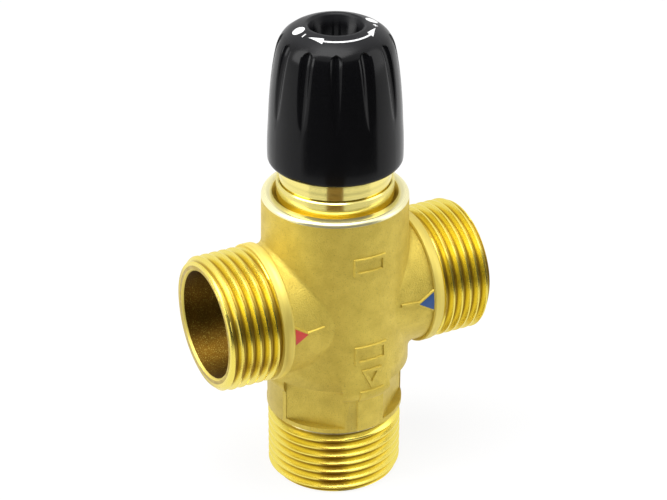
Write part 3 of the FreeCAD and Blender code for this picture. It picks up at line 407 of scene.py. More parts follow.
def cast_brass(settings):
    finish = Finish("cast brass", Metallic=0.55)
    build, grain = finish.build, finish.grain(settings.grain)
    tone = build.mix(grain["Mottle"], settings.cast_dark, settings.cast_light)
    tone = build.mix(grain["Speck"] * 0.55, tone, scaled(settings.cast_dark, 0.42))
    rough = build.ramp(grain["Mottle"], 0.0, 1.0, 0.52, 0.44)
    return finish.wear(tone, rough, finish.bump(grain["Height"], 0.85, 0.11 * MM))


def turned_brass(name, tone, roughness, metallic=1.0, axis="Z"):
    finish = Finish(name, Metallic=metallic)
    marks = finish.turning(axis)
    shade = finish.build.mix(marks["Band"], scaled(tone, 0.86), tone)
    rough = finish.build.ramp(marks["Band"], 0.0, 1.0, roughness * 1.25, roughness * 0.8)
    return finish.wear(shade, rough, finish.bump(marks["Height"], 0.25, 0.01 * MM))


def threaded_brass(settings, name, axis):
    """Cut thread: bright crests, and roots darkened with painted shade."""
    finish = Finish(name, Metallic=1.0)
    build, marks = finish.build, finish.turning(axis)
    crest = build.add("ShaderNodeAttribute", attribute_name="crest").outputs["Fac"]
    # towards the roots the tone runs into the root colour, painted shade in the valleys
    high = build.ramp(crest, 0.0, 0.5, smooth=True)
    tone = build.mix(high, settings.root, settings.crest)
    rough = build.ramp(high, 0.0, 1.0, 0.42, 0.27)
    return finish.wear(tone, rough, finish.bump(marks["Height"], 0.2, 0.01 * MM))


def bored_brass(settings):
    """Inside of the water ways, darkened to near black as painted shade."""
    finish = Finish("bored brass", Metallic=1.0)
    build, grain = finish.build, finish.grain(settings.grain * 0.8)
    tone = build.mix(grain["Mottle"], scaled(settings.bore, 0.7), settings.bore)
    tone = build.mix(grain["Speck"] * 0.3, tone, settings.crest)
    return finish.wear(tone, 0.46, finish.bump(grain["Height"], 0.5, 0.04 * MM))


def moulded_plastic(settings):
    """Satin black moulding with a grained crown; the crown's lighter tone is painted light from
    above.
    """
    finish = Finish("black plastic", Specular_IOR_Level=0.16)
    build, grain = finish.build, finish.grain(0.25 * MM)
    height = build.add("ShaderNodeSeparateXYZ", finish.place).outputs["Z"]
    crown = build.ramp(height, KNOB_HIGH.z - 3.2 * MM, KNOB_HIGH.z - 1.0 * MM, smooth=True)
    # the crown's lighter tone is painted light from above; its roughness and bump are the real
    # grain
    tone = build.mix(crown, settings.plastic, scaled(settings.plastic, 2.5))
    rough = build.ramp(crown, 0.0, 1.0, 0.17, 0.36) + grain["Mottle"] * 0.04
    strength = build.ramp(crown, 0.0, 1.0, 0.04, 0.5)
    return finish.wear(tone, rough, finish.bump(grain["Height"], strength, 0.03 * MM))


def grained(name, low, high, roughness, size, strength, depth):
    """A finish with little grain, mottled between two tones."""
    finish = Finish(name)
    grain = finish.grain(size)
    shade = finish.build.mix(grain["Mottle"], low, high)
    return finish.wear(shade, roughness, finish.bump(grain["Height"], strength, depth))


def painted(name, tone, roughness=0.4):
    return grained(name, scaled(tone, 0.82), tone, roughness, 0.3 * MM, 0.15, 0.02 * MM)


def plain_metal(name, tone, roughness, grain_size):
    finish = Finish(name, Metallic=1.0)
    grain = finish.grain(grain_size)
    shade = finish.build.mix(grain["Mottle"], scaled(tone, 0.85), tone)
    rough = finish.build.ramp(grain["Mottle"], 0.0, 1.0, roughness * 1.2, roughness * 0.85)
    return finish.wear(shade, rough, finish.bump(grain["Height"], 0.2, 0.01 * MM))


def seal_rubber():
    return grained("seal rubber", (0.012, 0.012, 0.012), (0.022, 0.022, 0.022), 0.55,
                   0.15 * MM, 0.2, 0.01 * MM)


def matt(name, tone):
    """A plain finish of the stage, without gloss."""
    return Finish(name, Specular_IOR_Level=0.0, Roughness=1.0, Base_Color=(*tone, 1.0))


def dress(mesh, *materials):
    """Give a mesh these finishes and no others."""
    mesh.materials.clear()
    for material in materials:
        mesh.materials.append(material)


# ---- Meshes ----
def new_object(name, data):
    """An object in the scene, of a mesh, a light or a camera."""
    piece = bpy.data.objects.new(name, data)
    bpy.context.scene.collection.objects.link(piece)
    return piece


def from_shape(name, shape, *materials):
    """An object of a bmesh, which is freed."""
    mesh = bpy.data.meshes.new(name)
    shape.to_mesh(mesh)
    shape.free()
    dress(mesh, *materials)
    return new_object(name, mesh)


def soften(mesh, degrees):
    """Smooth shading, with the edges sharper than this left crisp."""
    mesh.shade_smooth()
    mesh.set_sharp_from_angle(angle=math.radians(degrees))


def apply_modifiers(piece):
    """Make the piece's evaluated mesh its own."""
    graph = bpy.context.evaluated_depsgraph_get()
    mesh = bpy.data.meshes.new_from_object(piece.evaluated_get(graph))
    piece.modifiers.clear()
    piece.data = mesh


def subtract(piece, cutter):
    """Cut one closed piece out of another, and drop the cutter."""
    modifier = piece.modifiers.new("cut", "BOOLEAN")
    modifier.operation = "DIFFERENCE"
    modifier.solver = "EXACT"
    modifier.object = cutter
    apply_modifiers(piece)
    bpy.data.objects.remove(cutter)
    return piece


def surface_of(mesh):
    """Ray-casting tree of a mesh."""
    shape = bmesh.new()
    shape.from_mesh(mesh)
    tree = BVHTree.FromBMesh(shape)
    shape.free()
    return tree


def copy_of(node, name, weld=0.0005 * MM):
    """A copy of a CAD node's mesh, with vertices this close made one."""
    shape = bmesh.new()
    shape.from_mesh(frame["nodes"][node].data)
    if weld:
        bmesh.ops.remove_doubles(shape, verts=shape.verts[:], dist=weld)
    return from_shape(name, shape)


def on_circle(radius, turn, height):
    """A place round the Z axis."""
    return radius * math.cos(turn), radius * math.sin(turn), height


def round_turn(sides):
    """Angles of a whole turn in even steps."""
    return [2.0 * math.pi * k / sides for k in range(sides)]


def skin(shape, rings):
    """Close a stack of rings, each of as many vertices, into one solid."""
    sides = len(rings[0])
    for below, above in zip(rings, rings[1:]):
        for k in range(sides):
            after = (k + 1) % sides
            shape.faces.new((below[k], below[after], above[after], above[k]))
    shape.faces.new(rings[0][::-1])
    shape.faces.new(rings[-1])


def port_matrix(port):
    """Turns +Z into the port's outward direction and lifts it to the port's axis."""
    turns = {"hot": (math.radians(-90.0), "Y", PORT_HEIGHT),
             "cold": (math.radians(90.0), "Y", PORT_HEIGHT),
             "outlet": (math.radians(180.0), "X", 0.0)}
    turn, axis, lift = turns[port]
    return Matrix.Translation((0.0, 0.0, lift)) @ Matrix.Rotation(turn, 4, axis)


# ---- Threads ----
def make_thread_tree():
    """A closed threaded sleeve that stands on its inner end and grows along +Z."""
    sizes = ("Length", "Radius", "Depth", "Pitch", "Core", "Face Chamfer", "Run Out")
    build, entry, out = new_group(
        "pipe thread",
        [*((name, "Float") for name in sizes), ("Segments", "Int"), ("Steps", "Int"),
         ("Material", "Material")],
        [("Geometry", "Geometry")], "GeometryNodeTree")
    whole, outside, depth, pitch, core, face_chamfer, run_out = (entry[name] for name in sizes)
    rows = ((whole / pitch).of("CEIL") + 1.0) * entry["Steps"]
    # one row of inner wall before the thread's rows, and two after them
    last = rows + 3.0
    mesh = build.add("GeometryNodeMeshGrid", 1.0, 1.0, entry["Segments"] + 1.0,
                     last + 1.0).outputs["Mesh"]
    place = build.numbers(build.add(
        "ShaderNodeSeparateXYZ", build.add("GeometryNodeInputPosition").outputs[0]).outputs)
    around = place["X"] + 0.5
    row = ((place["Y"] + 0.5) * last).of("ROUND")
    turn = (row - 1.0).held(0.0, rows) / entry["Steps"]
    height = ((turn + around - 1.0) * pitch).held(0.0, whole)
    phase = (height / pitch - around + 1.0).of("FRACT")
    crest = build.ramp((phase - 0.5).of("ABSOLUTE"), 5.0 / 12.0, 1.0 / 12.0)
    radius = outside - depth + crest * depth
    for room, chamfer in ((whole - height, face_chamfer), (height, run_out)):
        radius = radius.of("MINIMUM", outside - (chamfer - room).of("MAXIMUM", 0.0))
    before = row.of("LESS_THAN", 0.5)
    after = row.of("GREATER_THAN", last - 1.5)
    final = row.of("GREATER_THAN", last - 0.5)
    wall = before + after
    radius = radius * (1.0 - wall) + core * wall
    height = height * (1.0 - wall) + whole * (after - final) * wall
    sweep = around * (2.0 * math.pi)
    spot = build.add("ShaderNodeCombineXYZ", radius * sweep.of("COSINE"),
                     radius * sweep.of("SINE"), height).outputs[0]
    # the crest attribute is the mask of the thread's finish, which paints shade into the roots
    for kind, inputs in (
            ("StoreNamedAttribute", {"Name": "crest", "Value": crest.of("MAXIMUM", wall * 0.3)}),
            ("SetPosition", {"Position": spot}),
            ("MergeByDistance", {"Distance": 0.002 * MM}),
            ("SetMaterial", {"Material": entry["Material"]})):
        node = build.fill(build.add("GeometryNode" + kind), Geometry=mesh, **inputs)
        mesh = node.outputs["Geometry"]
    build.fill(out, Geometry=mesh)


def make_thread(name, port, thread_length, run_out, start, reach, settings, material):
    """One port's thread, turned to its start and moved to its port."""
    piece = new_object(name, bpy.data.meshes.new(name))
    modifier = piece.modifiers.new("thread", "NODES")
    modifier.node_group = bpy.data.node_groups["pipe thread"]
    values = {"Length": thread_length, "Radius": THREAD_RADIUS, "Depth": settings.depth,
              "Pitch": settings.pitch, "Core": settings.core,
              "Face Chamfer": settings.face_chamfer, "Run Out": run_out,
              "Segments": settings.segments, "Steps": settings.steps, "Material": material}
    for item in modifier.node_group.interface.items_tree:
        if item.in_out == "INPUT":
            modifier[item.identifier] = values[item.name]
    apply_modifiers(piece)
    inner_end = Matrix.Translation((0.0, 0.0, reach - thread_length))
    piece.data.transform(port_matrix(port) @ inner_end @ Matrix.Rotation(start, 4, "Z"))
    soften(piece.data, 50.0)
    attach(piece, "root")


# ---- Casting ----
def add_ring(shape, inner, outer, floor, top, matrix, sides=128):
    """Add a closed ring of rectangular section to a bmesh."""
    corners = [(inner, floor), (outer, floor), (outer, top), (inner, top)]
    loops = [[shape.verts.new(matrix @ Vector(on_circle(radius, turn, height)))
              for radius, height in corners] for turn in round_turn(sides)]
    for side, loop in enumerate(loops):
        after = loops[(side + 1) % sides]
        for k in range(4):
            following = (k + 1) % 4
            shape.faces.new((loop[k], after[k], after[following], loop[following]))


def cut_threads_away(body, settings):
    """Take the plain thread rings off the casting, down to the threads' core."""
    shape = bmesh.new()
    slip = 0.02 * MM
    past = 1.0 * MM
    for port, reach, size in (("hot", PORT_REACH, settings.inlet_length),
                              ("cold", PORT_REACH, settings.inlet_length),
                              ("outlet", 0.0, settings.outlet_length)):
        add_ring(shape, settings.core, THREAD_RADIUS + past, reach - size + slip, reach + past,
                 port_matrix(port))
    bmesh.ops.recalc_face_normals(shape, faces=shape.faces[:])
    subtract(body, from_shape("thread_cutter", shape))


# The casting's finishes, and the borders between them
CAST, TURNED, COLLAR, BORED, DULL_AND_SHADE = range(5)
COLLAR_START = 18.97 * MM
FACE_DEPTH = 0.1 * MM
INLET_WALL = 13.4 * MM
RIM_FLAT, RIM_EDGE = 0.25 * MM, 1.15 * MM
RECESS_RADIUS, RECESS_DEPTH = 15.6 * MM, 8.0 * MM
BORE_WALL = 13.95 * MM
NECK_END = 18.25 * MM


def zone_of(centre):
    """Finish of a face of the casting, by its place."""
    upright = math.hypot(centre.x, centre.y)
    lying = math.hypot(centre.y, centre.z - PORT_HEIGHT)
    reach = abs(centre.x)
    below_rim = RIM_HEIGHT - centre.z
    if reach > COLLAR_START:
        if lying < INLET_WALL:
            return BORED
        return DULL_AND_SHADE if reach > PORT_REACH - FACE_DEPTH else COLLAR
    if below_rim < RIM_FLAT:
        return TURNED
    # the recess under the rim takes the darker tone as painted shade
    if upright < RECESS_RADIUS and below_rim < RECESS_DEPTH:
        return DULL_AND_SHADE
    if below_rim < RIM_EDGE:
        return TURNED
    if upright < BORE_WALL:
        return BORED
    return TURNED if centre.z < NECK_END else CAST


# ---- Flat outlines laid on a surface ----
def flat_polygon(corners):
    """One face."""
    return [list(corners)]


def flat_band(outer, inner):
    """The faces between an outline and a smaller one of as many corners."""
    sides = len(outer)
    return [[outer[k], outer[(k + 1) % sides], inner[(k + 1) % sides], inner[k]]
            for k in range(sides)]


def flat_frame(low, high, width):
    """The border of a rectangle."""
    (x0, y0), (x1, y1) = low, high
    return flat_band(*([(x0 + inset, y0 + inset), (x1 - inset, y0 + inset),
                        (x1 - inset, y1 - inset), (x0 + inset, y1 - inset)]
                       for inset in (0.0, width)))


def flat_loop(corners, width):
    """The border of a polygon, as a band inside its corners."""
    middle = sum((Vector(corner) for corner in corners), Vector((0.0, 0.0))) / len(corners)
    span = min((Vector(corner) - middle).length for corner in corners)
    # a triangle whose corners go in by 1.8 widths has a band about one width wide
    share = 1.0 - 1.8 * width / span
    return flat_band(corners, [tuple(middle + (Vector(corner) - middle) * share)
                               for corner in corners])


def flat_stroke(path, width):
    """A line of even width along a path."""
    left, right = [], []
    for k, point in enumerate(path):
        before = Vector(path[max(k - 1, 0)])
        after = Vector(path[min(k + 1, len(path) - 1)])
        along = (after - before).normalized()
        side = Vector((-along.y, along.x)) * width / 2.0
        left.append(tuple(Vector(point) + side))
        right.append(tuple(Vector(point) - side))
    return [[right[k], right[k + 1], left[k + 1], left[k]] for k in range(len(path) - 1)]


def flat_disc(centre, radius, sides=24):
    """One round face."""
    return flat_polygon([(centre[0] + radius * math.cos(turn),
                          centre[1] + radius * math.sin(turn)) for turn in round_turn(sides)])


def lay_on(name, faces, surface, launch, height, draft, material, sink=0.15 * MM,
           detail=0.5 * MM):
    """Lay flat faces on a surface as a low relief.

    launch turns a flat point into the start and direction of a ray to the surface. draft is
    how far the relief's foot stands out, sink how deep it goes under the surface, and detail
    the longest edge wanted.
    """
    shape = bmesh.new()
    for face in faces:
        shape.faces.new([shape.verts.new((x, y, 0.0)) for x, y in face])
    bmesh.ops.remove_doubles(shape, verts=shape.verts[:], dist=0.001 * MM)
    bmesh.ops.triangulate(shape, faces=shape.faces[:])
    for _ in range(6):
        long_edges = [edge for edge in shape.edges if edge.calc_length() > detail]
        if not long_edges:
            break
        bmesh.ops.subdivide_edges(shape, edges=long_edges, cuts=1)
        bmesh.ops.triangulate(shape, faces=shape.faces[:])
    bmesh.ops.recalc_face_normals(shape, faces=shape.faces[:])
    if sum(face.normal.z for face in shape.faces) < 0.0:
        bmesh.ops.reverse_faces(shape, faces=shape.faces[:])
    top = set(shape.verts)
    border = [edge for edge in shape.edges if edge.is_boundary]
    outward = {}
    for edge in border:
        first, second = (vert.co for vert in edge.verts)
        away = (second - first).normalized().cross(UP)
        if away.dot((first + second) / 2.0 - edge.link_faces[0].calc_center_median()) < 0.0:
            away.negate()
        for vert in edge.verts:
            outward[vert] = outward.get(vert, Vector()) + away
    foot = {vert: shape.verts.new(vert.co + away.normalized() * draft)
            for vert, away in outward.items()}
    for edge in border:
        loop = edge.link_loops[0]
        first, second = loop.vert, loop.link_loop_next.vert
        shape.faces.new((second, first, foot[first], foot[second]))
    for vert in shape.verts:
        start, direction = launch(vert.co.x, vert.co.y)
        hit = surface.ray_cast(start, direction)[0]
        if hit is None:
            raise RuntimeError("nothing under " + name)
        vert.co = hit - direction * (height if vert in top else -sink)
    piece = from_shape(name, shape, material)
    soften(piece.data, 40.0)
    return piece


# Where the rays to the surface start, clear of the part
BEFORE_FRONT, OVER_TOP = -0.2, 0.3


def from_front(x, z):
    """A ray from the front at this place."""
    return Vector((x, BEFORE_FRONT, z)), Vector((0.0, 1.0, 0.0))


def from_above(x, y):
    """A ray from above at this place."""
    return Vector((x, y, OVER_TOP)), -UP


def millimetres(*pairs):
    return [(x * MM, y * MM) for x, y in pairs]


# ---- Operators ----
class VALVE_OT_casting(bpy.types.Operator):
    """Forged body without its plain thread rings, in its cast, turned and bored finishes"""

    bl_idname = "valve.casting"
    bl_label = "Casting"

    def execute(self, context):
        brass = context.scene.valve_brass
        body = copy_of("valve_body", "cast_body")
        cut_threads_away(body, context.scene.valve_thread)
        mesh = body.data
        # in the order of the cast, turned, collar, bored and dull zones; the dull tone is also
        # painted shade in the recess under the rim
        # the rim's pale tone, on the rim and the turned neck, is partly a painted highlight
        dress(mesh, cast_brass(brass), turned_brass("turned rim", brass.rim, 0.3, 0.8),
              turned_brass("turned collar", brass.collar, 0.46, 0.6, "X"), bored_brass(brass),
              turned_brass("dull brass", brass.dull_and_shade, 0.36))
        for face in mesh.polygons:
            face.material_index = zone_of(face.center)
        soften(mesh, 20.0)
        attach(body, "root")
        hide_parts("valve_body")
        return {"FINISHED"}


class VALVE_OT_threads(bpy.types.Operator):
    """Pipe threads of the two inlets and the outlet"""

    bl_idname = "valve.threads"
    bl_label = "Threads"

    def execute(self, context):
        thread, brass = context.scene.valve_thread, context.scene.valve_brass
        make_thread_tree()
        lying = threaded_brass(brass, "inlet thread", "X")
        upright = threaded_brass(brass, "outlet thread", "Z")
        for port, start in (("hot", thread.hot_start), ("cold", thread.cold_start)):
            make_thread(port + "_thread", port, thread.inlet_length, thread.run_out, start,
                        PORT_REACH, thread, lying)
        make_thread("outlet_pipe_thread", "outlet", thread.outlet_length,
                    thread.outlet_run_out, thread.outlet_start, 0.0, thread, upright)
        return {"FINISHED"}


class VALVE_OT_marks(bpy.types.Operator):
    """Raised marks on the casting's front and the painted arrowheads of the inlets"""

    bl_idname = "valve.marks"
    bl_label = "Marks"

    def execute(self, context):
        marks = context.scene.valve_marks
        surface = surface_of(bpy.data.objects["cast_body"].data)
        line = 0.8 * MM
        shaft = 0.7 * MM
        raised = {
            "upper_frame": flat_frame(*millimetres((-3.9, 62.7), (4.4, 67.1)), line),
            "lower_frame": flat_frame(*millimetres((-3.6, 38.3), (5.0, 43.0)), line),
            "outlet_arrow": flat_loop(millimetres((-1.9, 36.4), (0.7, 31.2), (3.5, 36.4)), line),
            "land_pad": flat_polygon(millimetres((-2.2, 18.6), (4.3, 18.6), (4.3, 30.4),
                                                 (-2.2, 30.4))),
            "hot_arrow": flat_polygon(millimetres((-18.8, 46.9), (-14.9, 49.4), (-18.8, 52.0))),
            "hot_shaft": flat_stroke(millimetres((-15.6, 49.4), (-11.0, 49.9)), shaft),
            "cold_arrow": flat_polygon(millimetres((18.8, 46.8), (18.8, 52.4), (14.2, 49.7))),
            "cold_shaft": flat_stroke(millimetres((15.0, 49.8), (9.9, 50.3)), shaft),
        }
        painted_on = {
            "hot_paint": (flat_polygon(millimetres((-18.75, 47.3), (-15.4, 49.4),
                                                   (-18.75, 51.6))), "red paint", marks.hot),
            "cold_paint": (flat_polygon(millimetres((18.75, 47.2), (18.75, 52.0),
                                                    (14.7, 49.7))), "blue paint", marks.cold),
        }
        pieces = [lay_on(name, faces, surface, from_front, marks.height, marks.draft,
                         bpy.data.materials["cast brass"]) for name, faces in raised.items()]
        pieces += [lay_on(name, faces, surface, from_front, marks.height + marks.paint, 0.0,
                          painted(label, tone), sink=-marks.height / 2.0)
                   for name, (faces, label, tone) in painted_on.items()]
        for piece in pieces:
            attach(piece, "root")
        return {"FINISHED"}


# The knob's moulding
FLUTE_ROWS, CROWN_ROWS = 40, 8
HALF_FLUTE, LAND_COLUMNS = 9, 7
NARROWEST_FLUTE = 0.04 * MM
WELL_RADIUS, WELL_DEPTH = 7.2 * MM, 2.2 * MM

# Its print: places along the arc are angles from the arc's middle
PRINT_LINE = 0.42 * MM
PRINT_HALF_HEAD = 0.8 * MM
PRINT_HEAD_REACH = math.radians(25.0)
PRINT_DISC = 1.45 * MM
PRINT_DISC_PLACE = math.radians(93.0)
PRINT_SIGN_LINE = 0.35 * MM
PRINT_HALF_SIGN = 0.55 * MM
PRINT_SIGN_PLACE = math.radians(74.0)
PRINT_BAR = math.radians(3.4)


class VALVE_OT_knob(bpy.types.Operator):
    """Finish and print of the setting knob"""

    bl_idname = "valve.knob"
    bl_label = "Knob"

    def execute(self, context):
        knob = context.scene.valve_knob
        moulding = self.outer_form(knob)
        subtract(moulding, self.hollow())
        dress(moulding.data, moulded_plastic(knob))
        soften(moulding.data, 24.0)
        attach(moulding, "knob_shaft")
        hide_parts("knob")
        white = painted("white print", knob.print_colour, 0.5)
        surface = surface_of(moulding.data)
        for name, faces in self.print_faces(knob).items():
            piece = lay_on(name, faces, surface, from_above, knob.print_height, 0.0, white)
            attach(piece, "knob_shaft")
        return {"FINISHED"}

    def print_faces(self, knob):
        """The arrow and the signs at its ends, as flat faces seen from above."""
        reach, ring = knob.print_reach, knob.print_radius

        def polar(radius, sweep):
            """A place on the crown, its angle measured from the arc's middle."""
            return on_circle(radius, knob.print_middle + sweep, 0.0)[:2]

        # the line ends under the arrowheads
        shaft_reach = reach - PRINT_HEAD_REACH * 0.8
        steps = 40
        arc = [polar(ring, shaft_reach * (2.0 * k / steps - 1.0)) for k in range(steps + 1)]
        printed = {"print_arc": flat_stroke(arc, PRINT_LINE)}
        for side, sign in (("cooler", -1.0), ("hotter", 1.0)):
            back = sign * (reach - PRINT_HEAD_REACH)
            printed["print_head_" + side] = flat_polygon([
                polar(ring, sign * reach), polar(ring - PRINT_HALF_HEAD, back),
                polar(ring + PRINT_HALF_HEAD, back)])
            printed["print_disc_" + side] = flat_disc(
                polar(ring - 0.1 * MM, sign * PRINT_DISC_PLACE), PRINT_DISC)
            printed["print_minus_" + side] = flat_stroke(
                [polar(ring + part, sign * PRINT_SIGN_PLACE)
                 for part in (-PRINT_HALF_SIGN, PRINT_HALF_SIGN)], PRINT_SIGN_LINE)
        printed["print_plus_bar"] = flat_stroke(
            [polar(ring, PRINT_SIGN_PLACE + part) for part in (-PRINT_BAR, PRINT_BAR)],
            PRINT_SIGN_LINE)
        return printed

    def outer_form(self, knob):
        """Closed outer form of the knob; its columns follow the edges of the flutes."""
        shape = bmesh.new()
        half_pitch = math.pi / knob.flutes
        foot = KNOB_LOW.z + knob.flute_foot
        end = KNOB_LOW.z + knob.flute_end
        levels = sorted({*(KNOB_LOW.z + part for part in KNOB_EDGE_LEVELS),
                         *(foot + (end - foot) * k / FLUTE_ROWS for k in range(FLUTE_ROWS + 1)),
                         *(end + (KNOB_HIGH.z - end) * (k / CROWN_ROWS) ** 0.5
                           for k in range(CROWN_ROWS + 1))})
        # columns from -1 to 1 lie in a flute, and those past 1 between it and the next one
        columns = [k / HALF_FLUTE for k in range(-HALF_FLUTE, HALF_FLUTE + 1)]
        columns += [1.0 + k / LAND_COLUMNS for k in range(1, LAND_COLUMNS)]
        rings = []
        for level in levels:
            wide, deep = self.flute(level, foot, end, knob)
            radius = knob_profile(level)
            edge = max(wide, NARROWEST_FLUTE) / radius
            ring = []
            for flute in range(knob.flutes):
                middle = knob.flute_start + 2.0 * half_pitch * flute
                for column in columns:
                    turn, sunk = edge * column, deep * (1.0 - column * column)
                    if abs(column) > 1.0:
                        turn = edge + (column - 1.0) * 2.0 * (half_pitch - edge)
                        sunk = 0.0
                    ring.append(shape.verts.new(on_circle(radius - sunk, middle + turn, level)))
            rings.append(ring)
        skin(shape, rings)
        return from_shape("knob_moulding", shape)

    def flute(self, level, foot, end, knob):
        """Half width and depth of a flute at a height: pointed foot, rounded upper end."""
        if not foot < level < end:
            return 0.0, 0.0
        arch = knob.flute_width * 1.15
        share = (level - foot) / (end - foot)
        near = max((level - (end - arch)) / arch, 0.0)
        rounded = math.sqrt(max(1.0 - near * near, 0.0))
        wide = knob.flute_width * math.sqrt(1.0 - (1.0 - share) ** 2)
        return wide * rounded, knob.flute_depth * share ** 0.8 * rounded

    def hollow(self):
        """The packed knob's hollow as a solid: a plug inside its wall less the knob itself."""
        plug = bmesh.new()
        wall, past = 1.1 * MM, 1.0 * MM
        outline = [(KNOB_LOW.z - past, KNOB_RADIUS - wall)]
        # the outline in 24 steps, without its ends, where the wall is no longer upright
        for k in range(4, 22):
            level = KNOB_LOW.z + (KNOB_HIGH.z - KNOB_LOW.z) * k / 24
            outline.append((level, knob_profile(level) - wall))
        outline += [(KNOB_HIGH.z - WELL_DEPTH, WELL_RADIUS), (KNOB_HIGH.z + past, WELL_RADIUS)]
        skin(plug, [[plug.verts.new(on_circle(radius, turn, level))
                     for turn in round_turn(96)] for level, radius in outline])
        hollow = from_shape("knob_hollow", plug)
        return subtract(hollow, copy_of("knob", "knob_copy"))


class VALVE_OT_inner_pieces(bpy.types.Operator):
    """Finishes of the bonnet and of the pieces inside the body"""

    bl_idname = "valve.inner_pieces"
    bl_label = "Inner pieces"

    def execute(self, context):
        spring = plain_metal("spring steel", (0.46, 0.46, 0.46), 0.3, 0.12 * MM)
        finishes = {
            turned_brass("turned brass", context.scene.valve_brass.turned, 0.16):
                ("bonnet", "shuttle", "element_guide", "pressure_cup", "adjuster_sleeve",
                 "spindle"),
            plain_metal("stainless steel", (0.62, 0.61, 0.58), 0.26, 0.2 * MM):
                ("hot_seat_ring", "spring_guide", "element_pin", "knob_screw", "knob_washer"),
            plain_metal("element metal", (0.78, 0.42, 0.24), 0.3, 0.2 * MM): ("element_cup",),
            seal_rubber(): ("bonnet_seal_ring", "shuttle_seal", "spindle_seal_lower",
                            "spindle_seal_upper"),
            painted("white plastic", (0.8, 0.8, 0.77), 0.45): ("thrust_washer",),
            spring: ("outlet_retaining_ring", "element_clip", "adjuster_clip", "spindle_clip"),
        }
        for material, nodes in finishes.items():
            for node in nodes:
                dress(frame["nodes"][node].data, material)
        self.make_coil("return_coil", "return_spring", "root", "slide", 1.6 * MM, spring)
        self.make_coil("overtravel_coil", "overtravel_spring", "pusher", "adjuster", 0.8 * MM,
                       spring)
        return {"FINISHED"}

    def make_coil(self, name, node, below, above, end, finish):
        """A copy of a spring's mesh in its finish, in place of the packed spring."""
        coil = copy_of(node, name, weld=0.0)
        dress(coil.data, finish)
        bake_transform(coil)
        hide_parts(node)


# The stage: half the floor's side, the dark screen and the strip before the object
FLOOR_HALF = 3.0
FLAG_REACH, FLAG_LIFT = 0.9, 0.001
STRIP_START, STRIP_LIFT = 0.0185, 0.0005
LAMP_AIM = 70.0 * MM * UP


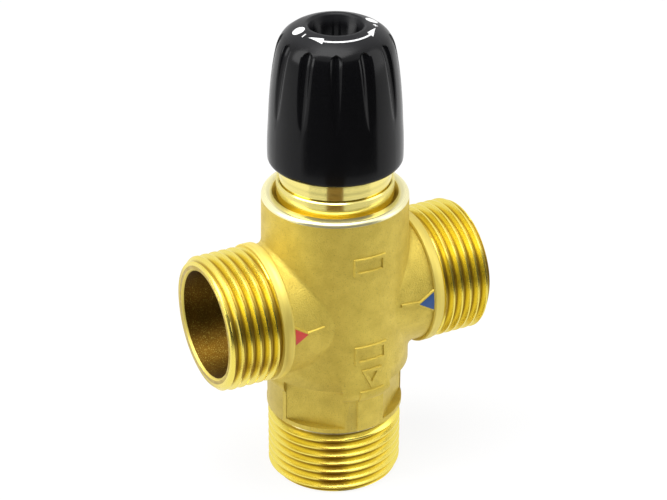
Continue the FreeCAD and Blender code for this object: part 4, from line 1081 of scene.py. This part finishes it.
class VALVE_OT_stage(bpy.types.Operator):
    """Floor, sky, dark flags, lamps and camera"""

    bl_idname = "valve.stage"
    bl_label = "Stage"

    def execute(self, context):
        stage = context.scene.valve_stage
        context.scene.view_settings.view_transform = "Standard"
        self.turn = Matrix.Rotation(-stage.azimuth, 4, "Z")
        self.add_floor(stage)
        self.add_sky(context, stage)
        self.add_flags(stage)
        # places seen from the camera: right, away from the camera, up
        for name, place, size, radiance in (
                ("left_box", (-0.70, -0.20, 0.55), (0.5, 0.8), stage.left_level),
                ("right_box", (0.80, -0.05, 0.35), (0.5, 0.9), stage.right_level),
                ("top_box", (-0.05, -0.15, 0.90), (0.7, 0.6), stage.top_level)):
            self.add_lamp(name, self.turn @ Vector(place), size, radiance)
        self.add_camera(context, stage)
        return {"FINISHED"}

    def background_mask(self, build):
        """1 for rays that should find the white background."""
        path = build.numbers(build.add("ShaderNodeLightPath").outputs)
        seen = path["Is Camera Ray"].of("MAXIMUM", path["Is Glossy Ray"])
        return seen.of("MAXIMUM", path["Is Transmission Ray"])

    def add_floor(self, stage):
        """White floor that keeps the object's shadow."""
        shape = bmesh.new()
        bmesh.ops.create_grid(shape, x_segments=1, y_segments=1, size=FLOOR_HALF)
        finish = matt("floor", stage.floor)
        build = finish.build
        glow = build.add("ShaderNodeEmission", (1.0, 1.0, 1.0, 1.0), 1.0)
        mixed = build.add("ShaderNodeMixShader", self.background_mask(build) * stage.floor_glow,
                          finish.shader.outputs[0], glow.outputs[0])
        out = finish.material.node_tree.nodes["Material Output"]
        build.fill(out, Surface=mixed.outputs[0])
        from_shape("floor", shape, finish.material)

    def add_sky(self, context, stage):
        """White background, softer where it only lights the object."""
        world = bpy.data.worlds.new("studio")
        world.use_nodes = True
        context.scene.world = world
        build = Tree(world.node_tree)
        build.fill(world.node_tree.nodes["Background"], Color=(1.0, 1.0, 1.0, 1.0),
                   Strength=build.ramp(self.background_mask(build), 0.0, 1.0, stage.sky_level))

    def add_flags(self, stage):
        """Dark cards round the front, which only reflections find."""
        left, right, strip = -stage.flag_left, stage.flag_right, stage.strip_reach
        start = stage.flag_start
        dark, dim = bmesh.new(), bmesh.new()
        self.add_screen(dark, (start, FLAG_LIFT), (FLAG_REACH, FLAG_LIFT), left, right)
        self.add_screen(dark, (FLAG_REACH, 0.0), (FLAG_REACH, stage.flag_height), left, right)
        self.add_screen(dim, (STRIP_START, STRIP_LIFT), (start, STRIP_LIFT), -strip, strip)
        for name, shape, tone in (("black_flag", dark, (0.01, 0.01, 0.01)),
                                  ("brown_strip", dim, (0.20, 0.13, 0.06))):
            flag = from_shape(name, shape, matt(name, tone).material)
            flag.matrix_world = self.turn
            flag.visible_camera = flag.visible_shadow = flag.visible_diffuse = False

    def add_screen(self, shape, first, second, left, right, sides=24):
        """A curved screen towards the camera, between two (radius, height) lines."""
        rows = []
        for k in range(sides + 1):
            sweep = math.radians(-90.0) + left + (right - left) * k / sides
            rows.append([shape.verts.new(on_circle(radius, sweep, height))
                         for radius, height in (first, second)])
        for before, after in zip(rows, rows[1:]):
            shape.faces.new((before[0], before[1], after[1], after[0]))

    def add_lamp(self, name, place, size, radiance):
        """A softbox that looks at the object's middle."""
        data = bpy.data.lights.new(name, "AREA")
        data.shape = "RECTANGLE"
        data.size, data.size_y = size
        data.energy = radiance * math.pi * size[0] * size[1]
        lamp = new_object(name, data)
        lamp.location = place
        lamp.rotation_euler = (place - LAMP_AIM).to_track_quat("Z", "Y").to_euler()

    def add_camera(self, context, stage):
        data = bpy.data.cameras.new("camera")
        data.sensor_width = 36.0
        data.lens = stage.lens
        data.clip_end = 20.0
        camera = new_object("camera", data)
        place = self.turn @ Vector((0.0, -stage.distance, stage.height))
        look = (self.turn @ Matrix.Rotation(stage.side, 4, "Z")
                @ Matrix.Rotation(math.radians(90.0) - stage.pitch, 4, "X")
                @ Matrix.Rotation(stage.roll, 4, "Z"))
        camera.matrix_world = Matrix.Translation(place) @ look
        context.scene.camera = camera


class VALVE_PT_sidebar(bpy.types.Panel):
    """Lists the settings and the steps"""

    bl_label = "Mixing valve"
    bl_space_type = "VIEW_3D"
    bl_region_type = "UI"
    bl_category = "Valve"

    def draw(self, context):
        for name in SETTINGS:
            group = getattr(context.scene, name)
            box = self.layout.box()
            box.label(text=group.__doc__ or name)
            for prop in group.bl_rna.properties:
                if prop.identifier not in ("rna_type", "name"):
                    box.prop(group, prop.identifier)
        for step in STEPS:
            self.layout.operator(step.bl_idname)


SETTINGS = {"valve_thread": ThreadSettings, "valve_brass": BrassSettings,
            "valve_marks": MarkSettings, "valve_knob": KnobSettings,
            "valve_stage": StageSettings}
STEPS = (VALVE_OT_casting, VALVE_OT_threads, VALVE_OT_marks, VALVE_OT_knob,
         VALVE_OT_inner_pieces, VALVE_OT_stage)
CLASSES = (*SETTINGS.values(), *STEPS, VALVE_PT_sidebar)


def register():
    for item in CLASSES:
        bpy.utils.register_class(item)
    for name, group in SETTINGS.items():
        setattr(bpy.types.Scene, name, bpy.props.PointerProperty(type=group))


def unregister():
    for name in SETTINGS:
        delattr(bpy.types.Scene, name)
    for item in reversed(CLASSES):
        bpy.utils.unregister_class(item)


def main():
    register()
    make_grain_group()
    make_turning_group()
    bpy.ops.valve.casting()
    bpy.ops.valve.threads()
    bpy.ops.valve.marks()
    bpy.ops.valve.knob()
    bpy.ops.valve.inner_pieces()
    bpy.ops.valve.stage()


if __name__ == "__main__":
    main()
